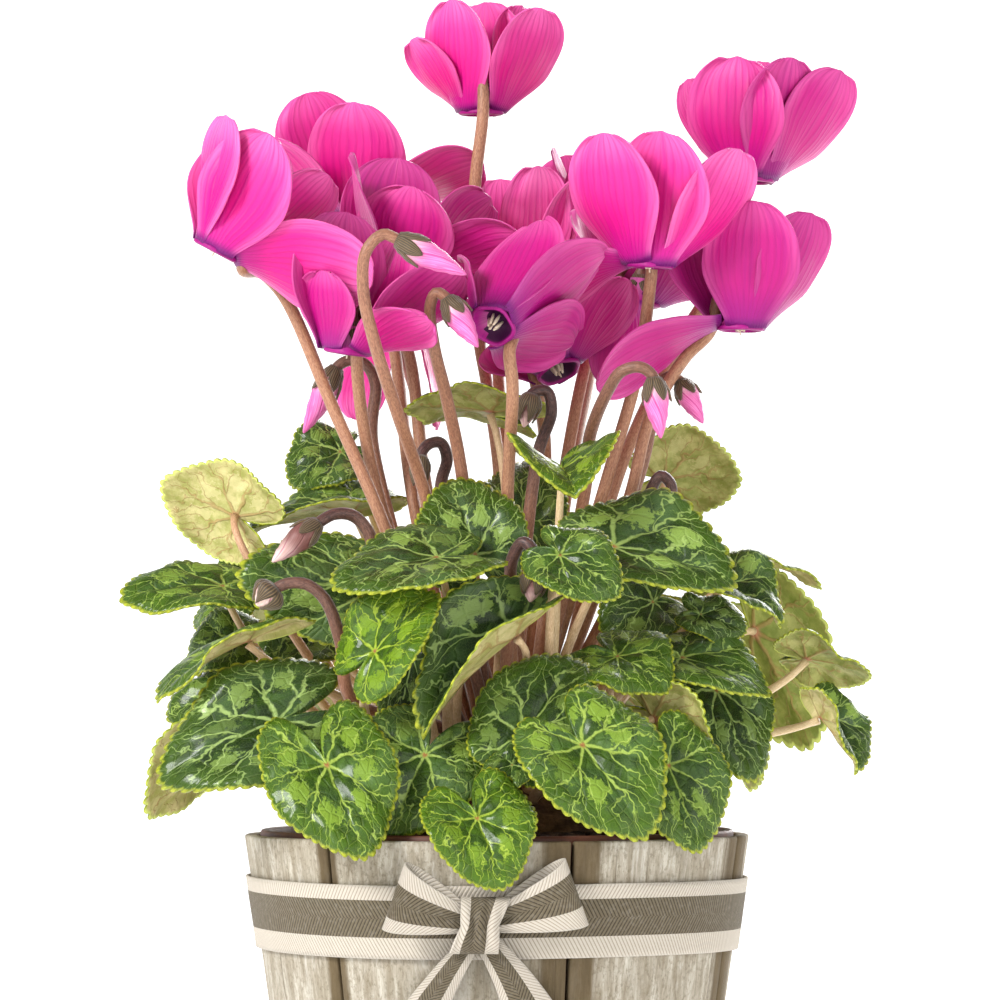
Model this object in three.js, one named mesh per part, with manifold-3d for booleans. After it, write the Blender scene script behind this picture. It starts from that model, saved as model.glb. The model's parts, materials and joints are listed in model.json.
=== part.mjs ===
// A potted cyclamen: a tuber in soil, its leaves, flower stems, buds and blooms, a thin nursery pot,
// and a cover pot of curved wooden boards with a woven ribbon and a bow.
// Millimetres, +Z up. The origin is the centre of the cover pot's underside, +X is to the right of
// someone who looks at the bow, and +Y is away from them.
import * as THREE from 'three';
import Module from 'manifold-3d';
import { mergeVertices } from 'three/addons/utils/BufferGeometryUtils.js';

// Cover pot
const POT_HEIGHT = 140;
const POT_TOP_RADIUS = 80.5;
const POT_BOTTOM_RADIUS = 60.5;
const BOARD_THICKNESS = 4;
const BOARD_JOINTS = [-41, 17, 72, 132, 194, 256];
const BOARD_JOINT_WIDTH = 0.8;
const BOARD_COLUMNS = 8;
const BOTTOM_BOARD_LOW = 0;
const BOTTOM_BOARD_THICKNESS = 6;

// Nursery pot and soil
const NURSERY_RIM_RADIUS = 75.2;
const NURSERY_RIM_HEIGHT = 141.6;
const NURSERY_BASE_RADIUS = 52;
const NURSERY_WALL = 1.6;
const SOIL_EDGE_HEIGHT = 137;
const SOIL_CENTRE_HEIGHT = 141.5;
const FIT = 0.3;

// Tuber, the flattened round body from which every leaf and flower stem grows
const TUBER_RADIUS = 36;
const TUBER_HALF_HEIGHT = 17;
const TUBER_CENTRE = 141;

// Leaves, stems and flowers
const BLADE_THICKNESS = 0.7;
const PETIOLE_RADIUS = 1.8;
const PETIOLE_SIDES = 4;
const PETIOLE_STATIONS = [0, 0.3, 0.6, 0.86, 1].map((t) => [t, PETIOLE_RADIUS * (1 - 0.4 * t * t)]);
const PETIOLE_SEAT = 1.4;
const INNER_RING = 0.52;
const TOOTH_DEPTH = 0.04;
const STEM_SIDES = 5;
const STEM_STEPS = 4;
const STEM_RADIUS = 2;
const MOUTH_RADIUS = 7;
const TUBE_LENGTH = 9;
const PETAL_LENGTH = 39;
const PETAL_WIDTH = 30;
const PETAL_TWIST = 28;

// Ribbon
const RIBBON_WIDTH = 22.5;
const RIBBON_THICKNESS = 0.8;
const BAND_CENTRE_HEIGHT = 115.5;

// Where someone stands who sees the plant as its places are written below
const EYE = new THREE.Vector3(0.96, -1600, 190);

const HALF_TURN = Math.PI;
const radians = (degrees) => (degrees * Math.PI) / 180;

const wasm = await Module();
wasm.setup();

// A place is written as it shows in the plane through the pot's axis, with its depth behind that
// plane as the third value: it lies on the line from the eye, at that depth.
function place([x, z, depth]) {
  const along = (depth - EYE.y) / -EYE.y;
  return new THREE.Vector3(EYE.x + (x - EYE.x) * along, depth, EYE.z + (z - EYE.z) * along);
}

function solidOf(geometry) {
  const bare = geometry.clone();
  bare.deleteAttribute('normal');
  bare.deleteAttribute('uv');
  const merged = mergeVertices(bare, 1e-4);
  const mesh = new wasm.Mesh({
    numProp: 3,
    vertProperties: new Float32Array(merged.getAttribute('position').array),
    triVerts: new Uint32Array(merged.getIndex().array),
  });
  return new wasm.Manifold(mesh);
}

function geometryOf(solid) {
  const mesh = solid.getMesh();
  const geometry = new THREE.BufferGeometry();
  geometry.setAttribute('position', new THREE.BufferAttribute(new Float32Array(mesh.vertProperties), 3));
  geometry.setIndex(new THREE.BufferAttribute(new Uint32Array(mesh.triVerts), 1));
  geometry.computeVertexNormals();
  return geometry;
}

function fuse(solids) {
  return solids.reduce((whole, piece) => whole.add(piece));
}

// What is left of a cut solid once its loose scraps are dropped.
function largestOf(solid) {
  return solid.decompose().reduce((most, next) => (next.volume() > most.volume() ? next : most));
}

// A flat geometry becomes a closed blade: faces(x, y) gives its two faces' points over a flat point,
// both faces are split into the same triangles, and a wall joins them along the edge.
function thicken(flat, faces) {
  const flatPoints = flat.getAttribute('position');
  const flatIndex = flat.getIndex().array;
  const count = flatPoints.count;
  const points = new Float32Array(count * 6);
  for (let i = 0; i < count; i += 1) {
    const [upper, lower] = faces(flatPoints.getX(i), flatPoints.getY(i));
    upper.toArray(points, i * 3);
    lower.toArray(points, (count + i) * 3);
  }
  const triangles = [];
  const edges = new Map();
  for (let t = 0; t < flatIndex.length; t += 3) {
    const corners = [flatIndex[t], flatIndex[t + 1], flatIndex[t + 2]];
    triangles.push(...corners);
    triangles.push(corners[0] + count, corners[2] + count, corners[1] + count);
    corners.forEach((from, k) => {
      const to = corners[(k + 1) % 3];
      if (!edges.delete(`${to} ${from}`)) edges.set(`${from} ${to}`, [from, to]);
    });
  }
  for (const [from, to] of edges.values()) {
    triangles.push(from, from + count, to + count);
    triangles.push(from, to + count, to);
  }
  const geometry = new THREE.BufferGeometry();
  geometry.setAttribute('position', new THREE.BufferAttribute(points, 3));
  geometry.setIndex(triangles);
  return geometry;
}

// The two faces of a thin sheet whose middle is surface(a, b).
function sheetFaces(surface, thickness, stepA, stepB) {
  return (a, b) => {
    const alongA = surface(a + stepA, b).sub(surface(a - stepA, b));
    const alongB = surface(a, b + stepB).sub(surface(a, b - stepB));
    const half = alongA.cross(alongB).normalize().multiplyScalar(thickness / 2);
    const middle = surface(a, b);
    return [middle.clone().add(half), middle.clone().sub(half)];
  };
}

// The rings of a round rod along a curve: its stations are shares of the curve's length, each with
// a radius, and a ring's corners run right-handed round the curve.
function rodRings(curve, sides, stations) {
  const normal = new THREE.Vector3(0.3, 1, 0.2);
  return stations.map(([share, radius]) => {
    const tangent = curve.getTangentAt(share);
    normal.addScaledVector(tangent, -normal.dot(tangent)).normalize();
    const binormal = tangent.clone().cross(normal);
    const middle = curve.getPointAt(share);
    return Array.from({ length: sides }, (unused, k) => middle.clone()
      .addScaledVector(normal, radius * Math.cos((2 * Math.PI * k) / sides))
      .addScaledVector(binormal, radius * Math.sin((2 * Math.PI * k) / sides)));
  });
}

// A closed body that is gathered point by point and triangle by triangle.
class Body {
  constructor() {
    this.places = [];
    this.index = [];
  }

  addRing(points) {
    const first = this.places.length;
    this.places.push(...points);
    return points.map((unused, k) => first + k);
  }

  // The wall between two rings, and the flat end over one.
  addWall(low, high) {
    low.forEach((here, k) => {
      const next = (k + 1) % low.length;
      this.index.push(here, low[next], high[next], here, high[next], high[k]);
    });
  }

  addEnd(ring) {
    for (let k = 1; k < ring.length - 1; k += 1) this.index.push(ring[0], ring[k], ring[k + 1]);
  }

  // A rod's walls from a ring that is there already. The last ring is left open and returned.
  addRod(start, rings) {
    return rings.slice(1).reduce((low, points) => {
      const high = this.addRing(points);
      this.addWall(low, high);
      return high;
    }, start);
  }

  solid() {
    const geometry = new THREE.BufferGeometry();
    const flatPlaces = new Float32Array(this.places.flatMap((point) => point.toArray()));
    geometry.setAttribute('position', new THREE.BufferAttribute(flatPlaces, 3));
    geometry.setIndex(this.index);
    return solidOf(geometry);
  }
}

// The point of the tuber's skin at an azimuth from the front and a distance from the axis.
function tuberPoint(azimuth, distance) {
  const x = distance * Math.sin(azimuth);
  const y = -distance * Math.cos(azimuth);
  const rise = TUBER_HALF_HEIGHT * Math.sqrt(1 - (distance / TUBER_RADIUS) ** 2);
  const point = new THREE.Vector3(x, y, TUBER_CENTRE + rise);
  const out = new THREE.Vector3(x / TUBER_RADIUS ** 2, y / TUBER_RADIUS ** 2, rise / TUBER_HALF_HEIGHT ** 2);
  return { point, out: out.normalize() };
}

// Roots: the places on the tuber where leaf clusters and stem bunches begin, pushed apart until
// each has its own room. A root that carries several rods has a short round stub under them.
const ROOT_LIFT = FIT;
const ROOT_ROUNDS = 60;
const ROOT_MARGIN = 0.35;
const STUB_HEIGHT = 3;
const STUB_SIDES = 7;
const ROD_RING_RADIUS = [0, 0, 2.3, 2.7, 3.3, 4, 4.7, 5.4];

function stubRadius(count) {
  return count === 1 ? STEM_RADIUS : (STEM_RADIUS + ROD_RING_RADIUS[count]) / Math.cos(HALF_TURN / STUB_SIDES) + 0.3;
}

function spreadRoots(wanted) {
  const roots = wanted.map(({ root: [azimuth, distance], count }) => ({
    x: distance * Math.sin(radians(azimuth)),
    y: -distance * Math.cos(radians(azimuth)),
    room: stubRadius(count) + ROOT_MARGIN,
  }));
  for (let round = 0; round < ROOT_ROUNDS; round += 1) {
    for (let i = 0; i < roots.length; i += 1) {
      for (let j = i + 1; j < roots.length; j += 1) {
        const [a, b] = [roots[i], roots[j]];
        const gap = Math.hypot(b.x - a.x, b.y - a.y);
        const push = (a.room + b.room - gap) / 2;
        if (push > 0) {
          const [stepX, stepY] = [((b.x - a.x) / gap) * push, ((b.y - a.y) / gap) * push];
          a.x -= stepX;
          a.y -= stepY;
          b.x += stepX;
          b.y += stepY;
        }
      }
    }
    for (const root of roots) {
      const distance = Math.hypot(root.x, root.y);
      const limit = TUBER_RADIUS - root.room * 0.8;
      if (distance > limit) {
        root.x *= limit / distance;
        root.y *= limit / distance;
      }
    }
  }
  return roots.map(({ x, y }) => tuberPoint(Math.atan2(x, -y), Math.hypot(x, y)));
}

function rootFrame(base) {
  const middle = base.point.clone().addScaledVector(base.out, ROOT_LIFT);
  const across = new THREE.Vector3(1, 0, 0).addScaledVector(base.out, -base.out.x).normalize();
  const along = new THREE.Vector3().crossVectors(base.out, across);
  const at = (x, y, height) => middle.clone()
    .addScaledVector(across, x)
    .addScaledVector(along, y)
    .addScaledVector(base.out, height);
  return { middle, across, along, at };
}

// Where each rod of one root starts: on a small ring, each on the side of the place that it goes
// to, seen from the middle of all those places, so that the rods spread without crossing.
function rodStarts(base, targets) {
  const { middle, across, along, at } = rootFrame(base);
  const count = targets.length;
  if (count === 1) return [middle];
  const centre = targets.reduce((sum, target) => sum.addScaledVector(target, 1 / count), new THREE.Vector3());
  const headings = targets.map((target) => {
    const way = target.clone().sub(centre);
    return Math.atan2(way.dot(along), way.dot(across));
  });
  const order = headings.map((heading, i) => i).sort((i, j) => headings[i] - headings[j]);
  const step = (2 * Math.PI) / count;
  const sum = (wave) => order.reduce((total, member, rank) => total + wave(headings[member] - step * rank), 0);
  const first = Math.atan2(sum(Math.sin), sum(Math.cos));
  const starts = [];
  order.forEach((member, rank) => {
    const angle = first + step * rank;
    const radius = ROD_RING_RADIUS[count];
    starts[member] = at(radius * Math.cos(angle), radius * Math.sin(angle), STUB_HEIGHT);
  });
  return starts;
}

// The stub of several rods, with an opening in its flat top where each rod's first ring is. The
// first rings come back as they are in the body.
function addStub(body, base, firstRings) {
  if (firstRings.length === 1) {
    const ring = body.addRing(firstRings[0]);
    body.addEnd([...ring].reverse());
    return [ring];
  }
  const { middle, across, along, at } = rootFrame(base);
  const radius = stubRadius(firstRings.length);
  const circle = (share, height) => Array.from({ length: STUB_SIDES }, (unused, k) => {
    const angle = (2 * Math.PI * k) / STUB_SIDES;
    return at(radius * share * Math.cos(angle), radius * share * Math.sin(angle), height);
  });
  const low = body.addRing(circle(0.95, 0));
  const high = body.addRing(circle(1, STUB_HEIGHT));
  body.addWall(low, high);
  body.addEnd([...low].reverse());
  const rings = firstRings.map((points) => body.addRing(points));
  const flat = (i) => {
    const way = body.places[i].clone().sub(middle);
    return new THREE.Vector2(way.dot(across), way.dot(along));
  };
  const openings = rings.map((ring) => [...ring].reverse());
  const corners = [...high, ...openings.flat()];
  const faces = THREE.ShapeUtils.triangulateShape(high.map(flat), openings.map((ring) => ring.map(flat)));
  faces.forEach((face) => body.index.push(...face.map((k) => corners[k])));
  return rings;
}

// Leaves
const FOLD_EASE = 1e-3;

// A leaf's outline: its reach from the petiole's joint at an angle from the tip, for a length of 1.
function leafReach(angle, lobes) {
  const body = lobes + (1 - lobes) * Math.cos(angle / 2) ** 2;
  const tip = 1 + 0.05 * Math.exp(-((angle / 0.25) ** 2));
  const notch = 1 - 0.86 * Math.exp(-(((Math.PI - Math.abs(angle)) / 0.2) ** 2));
  return body * tip * notch;
}

function leafFrame({ joint, tip, face }) {
  const from = place(joint);
  const along = place(tip).sub(from);
  const length = along.length();
  along.normalize();
  const up = new THREE.Vector3(...face);
  up.addScaledVector(along, -up.dot(along)).normalize();
  const side = new THREE.Vector3().crossVectors(up, along);
  return { from, along, up, side, length };
}

// The middle surface of a leaf over its flat outline. The midrib bends in an arc, and each half
// starts at its fold angle and curls on towards its edge. The left half is the first of each pair.
function leafSurface(leaf) {
  const { from, along, up, side, length } = leafFrame(leaf);
  const { width, lobes = 0.5, fold = [0, 0], curl = [0, 0], bend = -0.3, wave = 0.8, seed = 1 } = leaf;
  const half = width / 2;
  const spread = width / (length * (1 + lobes));
  return (x, y) => {
    const angle = Math.atan2(x, y);
    const share = Math.hypot(x, y) / leafReach(angle, lobes);
    const k = bend / length + FOLD_EASE / length;
    const run = y * length;
    const reach = Math.abs(x) * length * spread;
    const sideways = x < 0 ? 0 : 1;
    const turn = curl[sideways] + FOLD_EASE;
    const start = fold[sideways];
    const end = start + (turn * reach) / half;
    const across = (half / turn) * (Math.sin(end) - Math.sin(start));
    const ripple = wave * Math.sin(5 * angle + seed) * share ** 3;
    const lift = (half / turn) * (Math.cos(start) - Math.cos(end)) + ripple;
    const tilt = k * run;
    return from.clone()
      .addScaledVector(along, Math.sin(tilt) / k - Math.sin(tilt) * lift)
      .addScaledVector(up, (1 - Math.cos(tilt)) / k + Math.cos(tilt) * lift)
      .addScaledVector(side, (sideways ? -1 : 1) * across);
  };
}

// A leaf's flat outline for a length of 1, its tip towards +Y: a fan, then a ring that doubles its
// points, with a tooth at every second one.
function leafOutline(lobes, teeth) {
  const points = [[0, 0]];
  const triangles = [];
  const rim = teeth * 2;
  const addRing = (count, shareAt) => {
    for (let i = 0; i < count; i += 1) {
      const angle = (2 * Math.PI * i) / count;
      const reach = leafReach(angle > Math.PI ? angle - 2 * Math.PI : angle, lobes) * shareAt(i);
      points.push([reach * Math.sin(angle), reach * Math.cos(angle)]);
    }
  };
  addRing(teeth, () => INNER_RING);
  addRing(rim, (i) => (i % 2 ? 1 - TOOTH_DEPTH : 1 + TOOTH_DEPTH / 2));
  for (let i = 0; i < teeth; i += 1) {
    const here = 1 + i;
    const next = 1 + ((i + 1) % teeth);
    const out = 1 + teeth + 2 * i;
    const after = 1 + teeth + ((2 * i + 2) % rim);
    triangles.push([0, next, here]);
    triangles.push([here, out + 1, out], [here, next, out + 1], [next, after, out + 1]);
  }
  return { points, triangles };
}

function petioleCurve(leaf, start, out) {
  const { from, along, up, side } = leafFrame(leaf);
  const { rise = 0.38, reach = 0.32, arrive = [0.35, 0, 0.75] } = leaf;
  const gap = from.distanceTo(start);
  const end = from.clone().addScaledVector(up, -PETIOLE_SEAT);
  const entry = new THREE.Vector3()
    .addScaledVector(along, arrive[0])
    .addScaledVector(side, arrive[1])
    .addScaledVector(up, arrive[2])
    .normalize();
  return new THREE.CubicBezierCurve3(
    start,
    start.clone().addScaledVector(out, gap * rise),
    end.clone().addScaledVector(entry, -gap * reach),
    end,
  );
}

// A petiole's rings end in a seat under the blade and parallel to it, turned by the quarter that
// twists the petiole least.
function petioleRings(leaf, start, out) {
  const { from, along, up, side } = leafFrame(leaf);
  const rings = rodRings(petioleCurve(leaf, start, out), PETIOLE_SIDES, PETIOLE_STATIONS);
  const before = rings[rings.length - 2];
  const radius = PETIOLE_STATIONS[PETIOLE_STATIONS.length - 1][1];
  const quarters = [0, 1, 2, 3].map((k) => from.clone()
    .addScaledVector(up, -PETIOLE_SEAT)
    .addScaledVector(along, radius * Math.cos((k * Math.PI) / 2))
    .addScaledVector(side, radius * Math.sin((k * Math.PI) / 2)));
  const twist = (turn) => before.reduce((sum, corner, k) => sum + corner.distanceTo(quarters[(k + turn) % 4]), 0);
  const turn = [0, 1, 2, 3].reduce((best, next) => (twist(next) < twist(best) ? next : best));
  rings[rings.length - 1] = [0, 1, 2, 3].map((k) => quarters[(k + turn) % 4]);
  return { rings, turn };
}

// Adds a leaf to the body that has its petiole's first ring: the petiole, and the blade that it
// carries. Under the blade's middle the petiole's seat widens into the blade's underside.
function addLeaf(body, leaf, start, { rings, turn }) {
  const { lobes = 0.5, teeth = 8 } = leaf;
  const { points, triangles } = leafOutline(lobes, teeth);
  const faces = sheetFaces(leafSurface(leaf), BLADE_THICKNESS, 0.01, 0.01);
  const corners = points.map(([x, y]) => faces(x, y));
  const upper = body.addRing(corners.map(([point]) => point));
  const lower = body.addRing(corners.map(([, point]) => point));
  for (const [a, b, c] of triangles) {
    body.index.push(upper[a], upper[b], upper[c]);
    if (a !== 0) body.index.push(lower[a], lower[c], lower[b]);
  }
  body.addWall(upper.slice(1 + teeth), lower.slice(1 + teeth));
  const seat = body.addRod(start, rings);
  const seatOf = (i) => seat[(8 - Math.round(((i + 0.5) * 4) / teeth) - turn) % 4];
  for (let i = 0; i < teeth; i += 1) {
    const here = lower[1 + i];
    body.index.push(seatOf(i), here, lower[1 + ((i + 1) % teeth)]);
    if (seatOf(i) !== seatOf(i - 1)) body.index.push(seatOf(i), seatOf(i - 1), here);
  }
}

// Each cluster is one node: its leaves share one root on the tuber, at an azimuth in degrees from
// the front towards the right and a distance from the axis.
const LEAF_CLUSTERS = {
  leaves_left_top: { root: [-118, 22], leaves: [
    { joint: [-83.5, 241.3, 12], tip: [-104, 252.5, 22], face: [-0.25, 0.9, 0.35], width: 31, lobes: 0.62 },
    { joint: [-80, 226, 24], tip: [-93, 222, 30], face: [-0.1, -0.7, 0.7], width: 22, teeth: 6 },
  ] },
  leaves_left_tall: { root: [-125, 20], leaves: [
    { joint: [-50, 262, 46], tip: [-67, 256, 40], face: [-0.1, -0.75, 0.65], width: 30 },
    { joint: [-46, 243, 28], tip: [-80, 241, 24], face: [0, -0.3, 0.95], width: 36, fold: [0.4, 0.2] },
  ] },
  leaves_left_long: { root: [-92, 27], leaves: [
    { joint: [-87.5, 218.9, -14], tip: [-118.5, 221, -20], face: [0, -0.3, 0.95], width: 32, fold: [-0.2, 0.2] },
    { joint: [-84, 214, 26], tip: [-99, 211, 32], face: [-0.2, -0.6, 0.75], width: 22, teeth: 6 },
  ] },
  leaves_left_edge: { root: [-72, 25], leaves: [
    { joint: [-80, 201.5, -32], tip: [-110.4, 190, -40], face: [-0.35, -0.05, 0.93], width: 40, lobes: 0.7 },
    { joint: [-84, 201, -5], tip: [-101, 198, -1], face: [-0.3, -0.7, 0.6], width: 26, teeth: 6 },
  ] },
  leaves_left_silver: { root: [-86, 17], leaves: [
    { joint: [-58, 205, 20], tip: [-76, 199, 14], face: [-0.2, -0.85, 0.5], width: 28, teeth: 6 },
    { joint: [-41, 216, -20], tip: [-79, 226.5, -32], face: [0, -0.8, 0.6], width: 36, fold: [-0.5, 0.1], lobes: 0.35 },
  ] },
  leaf_left_large: { root: [-64, 29], leaves: [
    { joint: [-70.4, 175.7, -48], tip: [-108, 162, -56], face: [-0.3, -0.85, 0.45], width: 44, lobes: 0.7 },
  ] },
  leaves_left_low: { root: [-84, 29.5], leaves: [
    { joint: [-84, 184, -16], tip: [-106, 181, -10], face: [-0.4, -0.7, 0.6], width: 30, teeth: 6 },
    { joint: [-88, 168, -22], tip: [-114, 151, -20], face: [-0.2, 0.5, 0.75], width: 38, lobes: 0.7 },
  ] },
  leaf_front_left: { root: [-46, 29], leaves: [
    { joint: [-54.4, 161.9, -68], tip: [-43.2, 136.3, -88], face: [0, -0.9, 0.42], width: 40, lobes: 0.8 },
  ] },
  leaves_front_olive: { root: [-30, 27], leaves: [
    { joint: [-27, 196, -37], tip: [-33, 174, -44], face: [-0.1, -0.95, 0.3], width: 21, teeth: 6 },
    { joint: [-23, 165.1, -56], tip: [-34, 143, -71], face: [0.05, -0.85, 0.5], width: 40, lobes: 0.65 },
  ] },
  leaves_front_over_rim: { root: [-3, 29.5], leaves: [
    { joint: [-6.4, 144.9, -80], tip: [2, 126, -93], face: [0.1, -0.9, 0.4], width: 34, lobes: 0.75 },
    { joint: [5, 162, -67], tip: [-4, 151, -71], face: [-0.2, -0.9, 0.4], width: 15, teeth: 6, lobes: 0.75,
      arrive: [-0.2, 0, 0.9], rise: 0.2 },
  ] },
  leaf_front_folded: { root: [-20, 18], leaves: [
    { joint: [6, 203, -50], tip: [-26, 180, -65], face: [-0.1, -0.35, 0.93], width: 44, fold: [1.1, 0.9] },
  ] },
  leaf_front_bright: { root: [-44, 20], leaves: [
    { joint: [-39, 198.1, -62], tip: [-23, 217.9, -68], face: [-0.35, -0.85, 0.4], width: 30, lobes: 0.6,
      arrive: [0.9, 0, 0.4], reach: 0.62 },
  ] },
  leaf_front_shiny: { root: [14, 22], leaves: [
    { joint: [9, 171.5, -60], tip: [25, 198, -51], face: [-0.1, -0.85, 0.5], width: 37, lobes: 0.5 },
  ] },
  leaves_middle: { root: [-34, 14], leaves: [
    { joint: [-19.2, 228.1, -54], tip: [-51.2, 224.3, -67], face: [-0.05, -0.45, 0.89], width: 42, lobes: 0.6 },
    { joint: [-7, 229, -34], tip: [-14, 255, -28], face: [0.05, -0.85, 0.5], width: 34, lobes: 0.45 },
  ] },
  leaves_behind_stems: { root: [180, 1], leaves: [
    { joint: [-2, 275, 4], tip: [-28, 281, -2], face: [0, 0.35, 0.94], width: 30, lobes: 0.7 },
    { joint: [8, 240, 12], tip: [9, 262, 22], face: [0, -0.8, 0.6], width: 28, teeth: 6 },
  ] },
  leaves_mid_winged: { root: [34, 17], leaves: [
    { joint: [20.8, 256.3, -30], tip: [25, 253.5, -52], face: [0, -0.2, 0.98], width: 38, fold: [0.55, 0.45] },
    { joint: [20, 229, -60], tip: [38, 220, -70], face: [0, -0.85, 0.5], width: 26, teeth: 6 },
  ] },
  leaf_right_large: { root: [62, 14], leaves: [
    { joint: [37, 231.5, -34], tip: [76, 228.5, -42], face: [0, -0.42, 0.9], width: 38, fold: [0.5, -0.35] },
  ] },
  leaf_right_backlit: { root: [118, 18], leaves: [
    { joint: [54, 253.7, 42], tip: [76, 256, 48], face: [0.3, 0.85, 0.4], width: 34, lobes: 0.6 },
  ] },
  leaves_right_silver: { root: [82, 22], leaves: [
    { joint: [72, 219, -19], tip: [92, 211.5, -25], face: [0.2, -0.35, 0.9], width: 30, fold: [0.5, 0.2] },
    { joint: [75, 227.5, 22], tip: [103.5, 226, 22], face: [0, -0.05, 1], width: 24, teeth: 6 },
  ] },
  leaves_right_dark: { root: [56, 23], leaves: [
    { joint: [50, 214, -10], tip: [35, 206, -18], face: [0, -0.9, 0.4], width: 26, teeth: 6 },
    { joint: [65, 210, -24], tip: [79, 206, -28], face: [0.1, -0.85, 0.5], width: 16, teeth: 6 },
  ] },
  leaves_front_right_bright: { root: [56, 25], leaves: [
    { joint: [38.4, 196.5, -41], tip: [54, 190, -53], face: [0.1, -0.7, 0.65], width: 32, lobes: 0.75 },
    { joint: [50, 177, -37], tip: [72, 163, -41], face: [0.1, 0.7, 0.7], width: 32, teeth: 6 },
  ] },
  leaves_right_edge: { root: [94, 27], leaves: [
    { joint: [82, 205, 38], tip: [101, 171, 46], face: [0.2, 0.9, 0.3], width: 42, lobes: 0.6 },
    { joint: [99, 196, -4], tip: [119.5, 193.5, -10], face: [0.1, 0.5, 0.85], width: 30, teeth: 6 },
    { joint: [103.5, 177, -20], tip: [117, 163, -26], face: [0.6, -0.2, 0.75], width: 30, fold: [0.5, 0.4] },
  ] },
  leaves_right_low: { root: [68, 29], leaves: [
    { joint: [59, 196, -30], tip: [86.7, 190.7, -40], face: [0.1, -0.6, 0.78], width: 30, lobes: 0.6 },
    { joint: [70, 186, -16], tip: [83, 160, -26], face: [0.2, -0.9, 0.35], width: 31, teeth: 6 },
  ] },
  leaf_front_right_large: { root: [22, 29.5], leaves: [
    { joint: [27.2, 168.3, -72], tip: [47.4, 143.7, -89], face: [0.1, -0.88, 0.45], width: 42, lobes: 0.6,
      arrive: [-0.35, 0, 0.75], rise: 0.2 },
  ] },
  leaf_front_right_low: { root: [46, 29.5], leaves: [
    { joint: [54.7, 161.9, -58], tip: [66.6, 137, -66], face: [0.25, -0.88, 0.4], width: 34, lobes: 0.7 },
  ] },
  leaves_back_left: { root: [-142, 25], leaves: [
    { joint: [-62, 208, 52], tip: [-88, 198, 74], face: [-0.4, 0.5, 0.77], width: 40, teeth: 6 },
    { joint: [-40, 184, 66], tip: [-52, 162, 90], face: [-0.3, 0.8, 0.5], width: 42, teeth: 6 },
    { joint: [-72, 176, 36], tip: [-98, 160, 50], face: [-0.6, 0.4, 0.7], width: 40, teeth: 6 },
  ] },
  leaves_back_middle: { root: [178, 27], leaves: [
    { joint: [0, 216, 62], tip: [4, 206, 94], face: [0, 0.5, 0.86], width: 44, teeth: 6 },
    { joint: [-6, 180, 74], tip: [-12, 156, 98], face: [-0.1, 0.85, 0.5], width: 40, teeth: 6 },
    { joint: [20, 186, 72], tip: [25, 164, 96], face: [0.2, 0.85, 0.5], width: 38, teeth: 6 },
  ] },
  leaves_back_right: { root: [140, 25], leaves: [
    { joint: [58, 210, 66], tip: [82, 202, 90], face: [0.4, 0.5, 0.77], width: 40, teeth: 6 },
    { joint: [48, 178, 66], tip: [60, 158, 88], face: [0.4, 0.8, 0.5], width: 32, teeth: 6 },
    { joint: [68, 176, 62], tip: [84, 160, 80], face: [0.6, 0.4, 0.7], width: 32, teeth: 6 },
  ] },
};

// Blooms

// A bloom's frame: its mouth's centre, the axis towards the petal tips, and the directions that an
// azimuth is counted from, towards the viewer first and then to the right.
function bloomFrame({ mouth, axis }) {
  const up = new THREE.Vector3(...axis).normalize();
  const front = new THREE.Vector3(0, -1, 0);
  front.addScaledVector(up, -front.dot(up)).normalize();
  const right = new THREE.Vector3().crossVectors(up, front);
  const centre = place(mouth);
  const outward = (azimuth) => front.clone().multiplyScalar(Math.cos(azimuth))
    .addScaledVector(right, Math.sin(azimuth));
  const at = (azimuth, radius, height) => centre.clone()
    .addScaledVector(outward(azimuth), radius)
    .addScaledVector(up, height);
  return { centre, up, outward, at };
}

// Half of a petal's width at t along it, as a share of half its widest.
function petalBreadth(t) {
  const widen = 0.2 + 0.8 * Math.sin((Math.PI / 2) * Math.min(Math.max(t, 0) / 0.62, 1)) ** 1.6;
  const close = t > 0.62 ? Math.sqrt(1 - ((t - 0.62) / 0.41) ** 2) : 1;
  return widen * close;
}

// A petal's middle surface: s runs across it from -1 to 1, t along it from 0 to 1. It leaves the
// mouth's rim at one angle from the axis and ends at another, and it cups and twists on the way.
function petalSurface(frame, petal) {
  const { azimuth, lean: [leanFrom, leanTo] } = petal;
  const { length = PETAL_LENGTH, width = PETAL_WIDTH, twist = PETAL_TWIST, cup = 0.3 } = petal;
  const start = radians(leanFrom);
  const sweep = radians(leanTo) - start + 1e-3;
  const out = frame.outward(radians(azimuth));
  const side = new THREE.Vector3().crossVectors(frame.up, out);
  return (s, t) => {
    const lean = start + sweep * t;
    const radius = MOUTH_RADIUS + (length / sweep) * (Math.cos(start) - Math.cos(lean));
    const height = (length / sweep) * (Math.sin(lean) - Math.sin(start));
    const outward = out.clone().multiplyScalar(Math.cos(lean)).addScaledVector(frame.up, -Math.sin(lean));
    const turn = radians(twist) * (0.4 + 0.6 * t);
    const across = side.clone().multiplyScalar(Math.cos(turn)).addScaledVector(outward, Math.sin(turn));
    const face = outward.clone().multiplyScalar(Math.cos(turn)).addScaledVector(side, -Math.sin(turn));
    const half = (width / 2) * petalBreadth(t);
    const bow = 0.6 + (cup - 0.6) * Math.min(1, 2.5 * t) + 1e-3;
    return frame.at(0, 0, PETAL_SEAT)
      .addScaledVector(out, radius)
      .addScaledVector(frame.up, height)
      .addScaledVector(across, (half * Math.sin(bow * s)) / bow)
      .addScaledVector(face, (-half * (1 - Math.cos(bow * s))) / bow);
  };
}

const PETAL_STATIONS = [-0.012, 0.3, 0.66, 1];
const PETAL_SEAT = 0.9;
const PETAL_LAST = PETAL_STATIONS.length - 1;

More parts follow.
